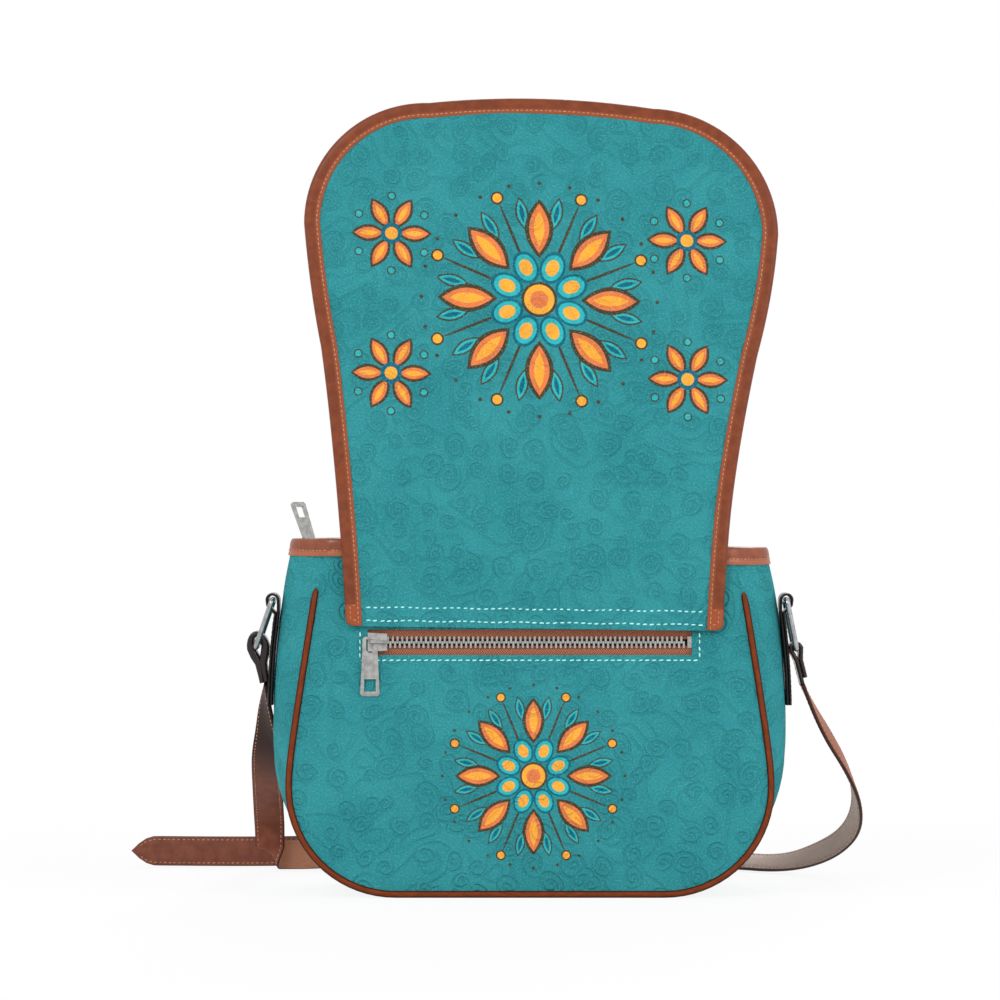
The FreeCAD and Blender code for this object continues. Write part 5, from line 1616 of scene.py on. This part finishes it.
LEFT_DROP = [
    ((-0.1509, 0.0050, 0.1030), (-0.35, 0.93, 0)),
    ((-0.1502, 0.0180, 0.0880), (-0.66, 0.75, 0)),
    ((-0.1530, 0.0380, 0.0720), (-0.82, 0.57, 0)),
    ((-0.1536, 0.0620, 0.0580), (-0.94, 0.34, 0)),
    ((-0.1544, 0.0860, 0.0460), (-0.99, 0.10, 0)),
    ((-0.1550, 0.1040, 0.0350), (-1, 0, 0)),
    ((-0.1550, 0.1120, 0.0270), (-1, 0, 0)),
]
LEFT_RUN = [
    ((-0.1280, 0.1210, 0.0096), (0, 0, 1)),
    ((-0.1080, 0.1218, 0.0114), (0, 0, 1)),
]
LEFT_FOLD = Vector((-0.155, 0.115, 0.0162))
FOLD_RADIUS = 3.0
FOLD_STEPS = 6
BUCKLE = Vector((-0.061, 0.124, 0.0126))
BUCKLE_END = SimpleNamespace(bar=2.6, leg=22.0, tail=18.0)
STRAP_TIP = 15.0
LEAST_TIP_SHARE = 0.02


def in_millimetres(route):
    return [(Vector(place) / MM, Vector(across)) for place, across in route]


def route_edges(route):
    """Edge points of the strap at each place of a route."""
    places = [place for place, across in route]
    found = []
    for (place, across), along in zip(route, directions(places)):
        level = (across - along * across.dot(along)).normalized() * STRAP.half
        found.append((place - level, place + level))
    return found


def fold_edges(start):
    """The strap, coming straight down at start, rolls over a slanting line and leaves towards +X."""
    down = Vector((0, 0, -1))
    wide = Vector((-1, 0, 0))
    slant = math.sqrt(0.5)
    travel = (down + wide) * slant
    ruling = (wide - down) * slant
    found = []
    for turn in spaced(0, math.pi, FOLD_STEPS + 1):
        shift = travel * (FOLD_RADIUS * math.sin(turn)) + BACKWARDS * (FOLD_RADIUS * (1 - math.cos(turn)))
        edges = []
        for across in (-STRAP.half, STRAP.half):
            along = FOLD_RADIUS * turn / slant - across
            edges.append(start + shift + ruling * ((across - along) * slant))
        found.append(tuple(edges))
    return found


def frames_between(edges):
    """Frames of a strap whose two edges are smooth curves with these control points."""
    left = smooth_line([pair[0] for pair in edges])
    right = smooth_line([pair[1] for pair in edges])
    centres = [(a + b) / 2 for a, b in zip(left, right)]
    return strip_frames(centres, [b - a for a, b in zip(left, right)])


def tip_widths(frames, reach):
    """Shares of the width towards a pointed, bowed end."""
    runs = lengths_along([f[0] for f in frames])
    shares = []
    for run in runs:
        left = (runs[-1] - run) / reach
        shares.append(1.0 if left >= 1 else max(1 - (1 - left) ** 2, LEAST_TIP_SHARE))
    return shares


def hang_from_ring(made, name, side):
    """Bakes a strap length into place."""
    start, _ = leg_end(name, side)
    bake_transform(made)


def frame_at(frames, x):
    """Frame where a strap that runs towards -X passes x."""
    for first, second in zip(frames, frames[1:]):
        if first[0].x >= x > second[0].x:
            share = (first[0].x - x) / (first[0].x - second[0].x)
            return tuple(a.lerp(b, share) for a, b in zip(first, second))


def with_holes(frames):
    """Frames with a section before, at and after each hole, and the numbers of the middle sections."""
    clear = STRAP_HOLE + HOLE_CLEAR
    middles = []
    for number in HOLE_NUMBERS:
        x = HOLE_ROW + number * HOLE_PITCH
        new = [frame_at(frames, x - step * STRAP_HOLE) for step in (-1, 0, 1)]
        before = [f for f in frames if f[0].x > x + clear]
        after = [f for f in frames if f[0].x < x - clear]
        frames = before + new + after
        middles.append(new[1])
    return frames, [i for i, f in enumerate(frames) if f in middles]


def make_right_strap():
    edges = route_edges([leg_end("right", 1)] + in_millimetres(RIGHT_ROUTE))
    frames, holes = with_holes(frames_between(edges))
    widths = tip_widths(frames, STRAP_TIP)
    made = strip(
        "right_strap", frames, STRAP.half, STRAP.sheet, RIGHT_STRAP_LEATHER, widths,
        holes=holes,
    )
    hang_from_ring(made, "right", 1)
    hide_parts("right_strap_drop", "right_strap_run")
    seam = strap_seams("right_strap_stitches", frames, 0, widths)
    hang_from_ring(seam, "right", 1)


def make_left_strap():
    drop = route_edges([leg_end("left", -1)] + in_millimetres(LEFT_DROP))
    leg = BUCKLE / MM + Vector((-BUCKLE_END.leg, -STRAP.sheet / 2, 0))
    run = route_edges(in_millimetres(LEFT_RUN) + [(leg, UP)])
    frames = frames_between(drop + fold_edges(LEFT_FOLD / MM) + run)
    made = strip("left_strap", frames, STRAP.half, STRAP.sheet, LEFT_STRAP_LEATHER)
    hang_from_ring(made, "left", -1)
    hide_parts("left_strap_drop", "left_strap_run")
    seam = strap_seams("left_strap_stitches", frames)
    hang_from_ring(seam, "left", -1)


def make_buckle_end():
    """Left strap's end round the buckle's bar."""
    radius = snug_bend(BUCKLE_END.bar)
    path = loop_path(radius, radius, BUCKLE_END.leg, BUCKLE_END.tail, 1)
    centres = [BUCKLE / MM + Vector((z, x, 0)) for x, z in path]
    frames = strip_frames(centres, [UP] * len(centres))
    made = strip("buckle_end_leather", frames, STRAP.half, STRAP.sheet, STRAP_LEATHER)
    fasten(made, "bag", "left_strap_buckle_end")
    seam = strap_seams("buckle_end_stitches", frames, 1)
    fasten(seam, "bag")


KEEPER = SimpleNamespace(
    off_buckle=Vector((-14.0, 2.6, 0)), half_deep=7.0, half_high=10.4, corner=1.8, half=4.0, sheet=1.5,
    corner_steps=5,
)


def make_keeper():
    """Leather band round the strap end and the free end."""
    centre = BUCKLE / MM + KEEPER.off_buckle
    deep = KEEPER.half_deep - KEEPER.corner
    high = KEEPER.half_high - KEEPER.corner
    path = []
    for quarter, (y, z) in enumerate(((1, 1), (-1, 1), (-1, -1), (1, -1))):
        middle = Vector((0, y * deep, z * high))
        for turn in spaced(0, math.pi / 2, KEEPER.corner_steps):
            angle = quarter * math.pi / 2 + turn
            path.append(centre + middle + Vector((0, math.cos(angle), math.sin(angle))) * KEEPER.corner)
    frames = strip_frames(path, [Vector((1, 0, 0))] * len(path), True)
    made = strip(
        "keeper_leather", frames, KEEPER.half, KEEPER.sheet, STRAP_LEATHER, closed=True
    )
    fasten(made, "bag", "strap_keeper")


# Solids that keep their shapes, the metal ones with softened edges

TOOTH = SimpleNamespace(
    above_cord=(0.72, 0.8), smear_scale=0.5, cord_shares=(0.35, 0.65), metal_shares=(0.35, 0.7),
    metal_tone=0.5, cord_rough=0.75, less_rough=0.5, smear_rough=0.1,
)
CORD_DARK = colour(92, 50, 34)
CORD_LIGHT = colour(132, 78, 54)
TEETH_BRIGHT = colour(182, 180, 176)
TEETH_WORN = colour(118, 116, 114)


def chain_metal(name, node, out):
    """Bright teeth on a woven cord; what stands off the tape's middle plane is a tooth."""
    heights = [corner.co.dot(out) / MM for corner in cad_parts[node].data.vertices]
    middle = (min(heights) + max(heights)) / 2
    f = Finish(name)
    place = f.place()
    height = f.vector("DOT_PRODUCT", place, out).out("Value") - middle
    tooth = f.step(abs(height), *TOOTH.above_cord)
    smear = f.noise(place, TOOTH.smear_scale)
    cord = f.mix(f.step(smear, *TOOTH.cord_shares), CORD_DARK, CORD_LIGHT)
    metal = f.mix(f.step(smear, *TOOTH.metal_shares) * TOOTH.metal_tone, TEETH_BRIGHT, TEETH_WORN)
    rough = TOOTH.cord_rough - tooth * TOOTH.less_rough + smear * TOOTH.smear_rough
    return f.surface(Base_Color=f.mix(tooth, cord, metal), Metallic=tooth, Roughness=rough)


SHARPEST_LEFT = math.radians(40)
ROUNDING_STEPS = 2


def round_edges(made, width):
    """Rounds the edges that stand out and leaves inner corners as they are."""
    shape = bmesh.new()
    shape.from_mesh(made.data)
    weights = []
    for edge in shape.edges:
        stands_out = edge.is_manifold and edge.is_convex
        weights.append(1.0 if stands_out and edge.calc_face_angle() > SHARPEST_LEFT else 0.0)
    shape.free()
    weight = made.data.attributes.new("bevel_weight_edge", "FLOAT", "EDGE")
    weight.data.foreach_set("value", weights)
    rounded = made.modifiers.new("edge", "BEVEL")
    rounded.width = width * MM
    rounded.segments = ROUNDING_STEPS
    rounded.limit_method = "WEIGHT"


def dress(nodes, finish, width=0.0):
    """Gives solids their finish and rounds their edges by a width."""
    for node in nodes:
        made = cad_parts[node]
        for place in made.material_slots:
            place.material = finish
        made.data.polygons.foreach_set("use_smooth", [True] * len(made.data.polygons))
        made.data.set_sharp_from_angle(angle=math.radians(METAL_CREASE))
        if width:
            round_edges(made, width)


POCKET_CHAINS = ("pocket_zip_chain_upper", "pocket_zip_chain_lower")
MOUTH_CHAINS = ("mouth_zip_chain_back", "mouth_zip_chain_front")
CHAIN_ROUNDING = 0.12
ZIP_ROUNDING = 0.4
SNAP_ROUNDING = 0.25


def dress_solids():
    dress(POCKET_CHAINS, chain_metal("pocket_chain", POCKET_CHAINS[0], BACK_OUT), CHAIN_ROUNDING)
    dress(MOUTH_CHAINS, chain_metal("mouth_chain", MOUTH_CHAINS[0], UP), CHAIN_ROUNDING)
    sliding = ("pocket_zip_slider", "pocket_zip_puller", "mouth_zip_slider", "mouth_zip_puller")
    dress(sliding, ZIP_METAL, ZIP_ROUNDING)
    dress(("left_ring", "right_ring", "buckle_frame", "buckle_prong"), RING_STEEL)
    dress(("snap_socket", "snap_stud", "snap_washer"), SNAP_STEEL, SNAP_ROUNDING)
    dress(("lining_back", "lining_front", "lining_gusset", "pocket_bag"), SOLID_LINING)


make_right_strap()
make_left_strap()
make_buckle_end()
make_keeper()
for strap_name, strap_side in (("left", -1), ("right", 1)):
    make_tab(strap_name, strap_side)
    make_strap_end(strap_name, strap_side)
make_gusset()
make_panels()
make_piping("back_piping_bead", on_back, "back_piping")
make_piping("front_piping_bead", on_front, "front_piping")
make_rim()
make_flap()
make_foot_stitches()
make_seams()
make_pocket_tapes()
make_mouth_tapes()
dress_solids()


# Floor, light and camera

WHITE = (1.0, 1.0, 1.0, 1.0)
FLOOR_GREY = (0.9, 0.9, 0.9, 1.0)
FLOOR_HALF = 40.0
# Share of white in the floor near the bag, and the distances between which it grows to 1
FLOOR_WHITE_SHARE = 0.88
FLOOR_FADE = (250.0, 900.0)
WORLD_LIGHT = 0.55


def seen_directly(f):
    """1 for what the camera sees, also in metal; 0 for light that falls on the bag."""
    seen = f.node("ShaderNodeLightPath", output="Is Camera Ray")
    return seen.math("MAXIMUM", seen.out("Is Glossy Ray")).math("MAXIMUM", seen.out("Is Transmission Ray"))


def make_floor():
    f = Finish("floor")
    seen = seen_directly(f)
    paint = f.node("ShaderNodeBsdfDiffuse", inputs={"Color": FLOOR_GREY})
    white = f.node("ShaderNodeEmission", inputs={"Color": WHITE, "Strength": 1.0})
    across, deep, _ = f.split(f.place())
    far = f.step(reach_of(across, deep), *FLOOR_FADE)
    share = seen * (far * (1 - FLOOR_WHITE_SHARE) + FLOOR_WHITE_SHARE)
    both = f.node("ShaderNodeMixShader", inputs={0: share, 1: paint, 2: white})
    f.node("ShaderNodeOutputMaterial", inputs={"Surface": both})
    corners = [(x * FLOOR_HALF, y * FLOOR_HALF, 0) for x, y in ((-1, -1), (1, -1), (1, 1), (-1, 1))]
    mesh = bpy.data.meshes.new("floor")
    mesh.from_pydata(corners, [], [(0, 1, 2, 3)])
    mesh.materials.append(f.material)
    floor = bpy.data.objects.new("floor", mesh)
    bpy.context.scene.collection.objects.link(floor)


def make_world():
    f = Finish("studio", bpy.data.worlds)
    strength = seen_directly(f) * (1 - WORLD_LIGHT) + WORLD_LIGHT
    light = f.node("ShaderNodeBackground", inputs={"Color": WHITE, "Strength": strength})
    f.node("ShaderNodeOutputWorld", inputs={"Surface": light})
    bpy.context.scene.world = f.material


# Lamps in metres: place, height that it points at, size, power and whether metal shows it
LAMPS = {
    "key": ((-1.1, -1.6, 1.7), 0.2, 0.9, 17.5, True),
    "fill": ((1.5, -1.3, 1.0), 0.2, 1.2, 10.0, True),
    "left_side": ((-2.2, -0.9, 0.6), 0.1, 1.4, 14.0, False),
    "right_side": ((2.2, -0.9, 0.6), 0.1, 1.4, 14.0, False),
    "low": ((0, -2.3, 0.25), 0.08, 1.0, 4.0, False),
    "rear": ((0.3, 1.6, 1.5), 0.2, 1.0, 14.0, True),
}


def make_lamp(name, place, aim, size, power, seen_in_metal):
    lamp = bpy.data.lights.new(name, "AREA")
    lamp.shape = "DISK"
    lamp.size = size
    lamp.energy = power
    made = bpy.data.objects.new(name, lamp)
    made.location = place
    made.rotation_euler = (UP * aim - Vector(place)).to_track_quat("-Z", "Y").to_euler()
    made.visible_glossy = seen_in_metal
    bpy.context.scene.collection.objects.link(made)


CAMERA = SimpleNamespace(lens=141.4, sensor=36.0, place=Vector((-16.8, -2245.0, 222.9)))


def make_camera():
    """Level camera that looks straight at the bag's back."""
    view = bpy.data.cameras.new("camera")
    view.lens = CAMERA.lens
    view.sensor_width = CAMERA.sensor
    made = bpy.data.objects.new("camera", view)
    made.location = CAMERA.place * MM
    made.rotation_euler = (math.pi / 2, 0, 0)
    bpy.context.scene.collection.objects.link(made)
    bpy.context.scene.camera = made


make_floor()
make_world()
for lamp_name, lamp_values in LAMPS.items():
    make_lamp(lamp_name, *lamp_values)
make_camera()
bpy.context.scene.view_settings.view_transform = "Standard"
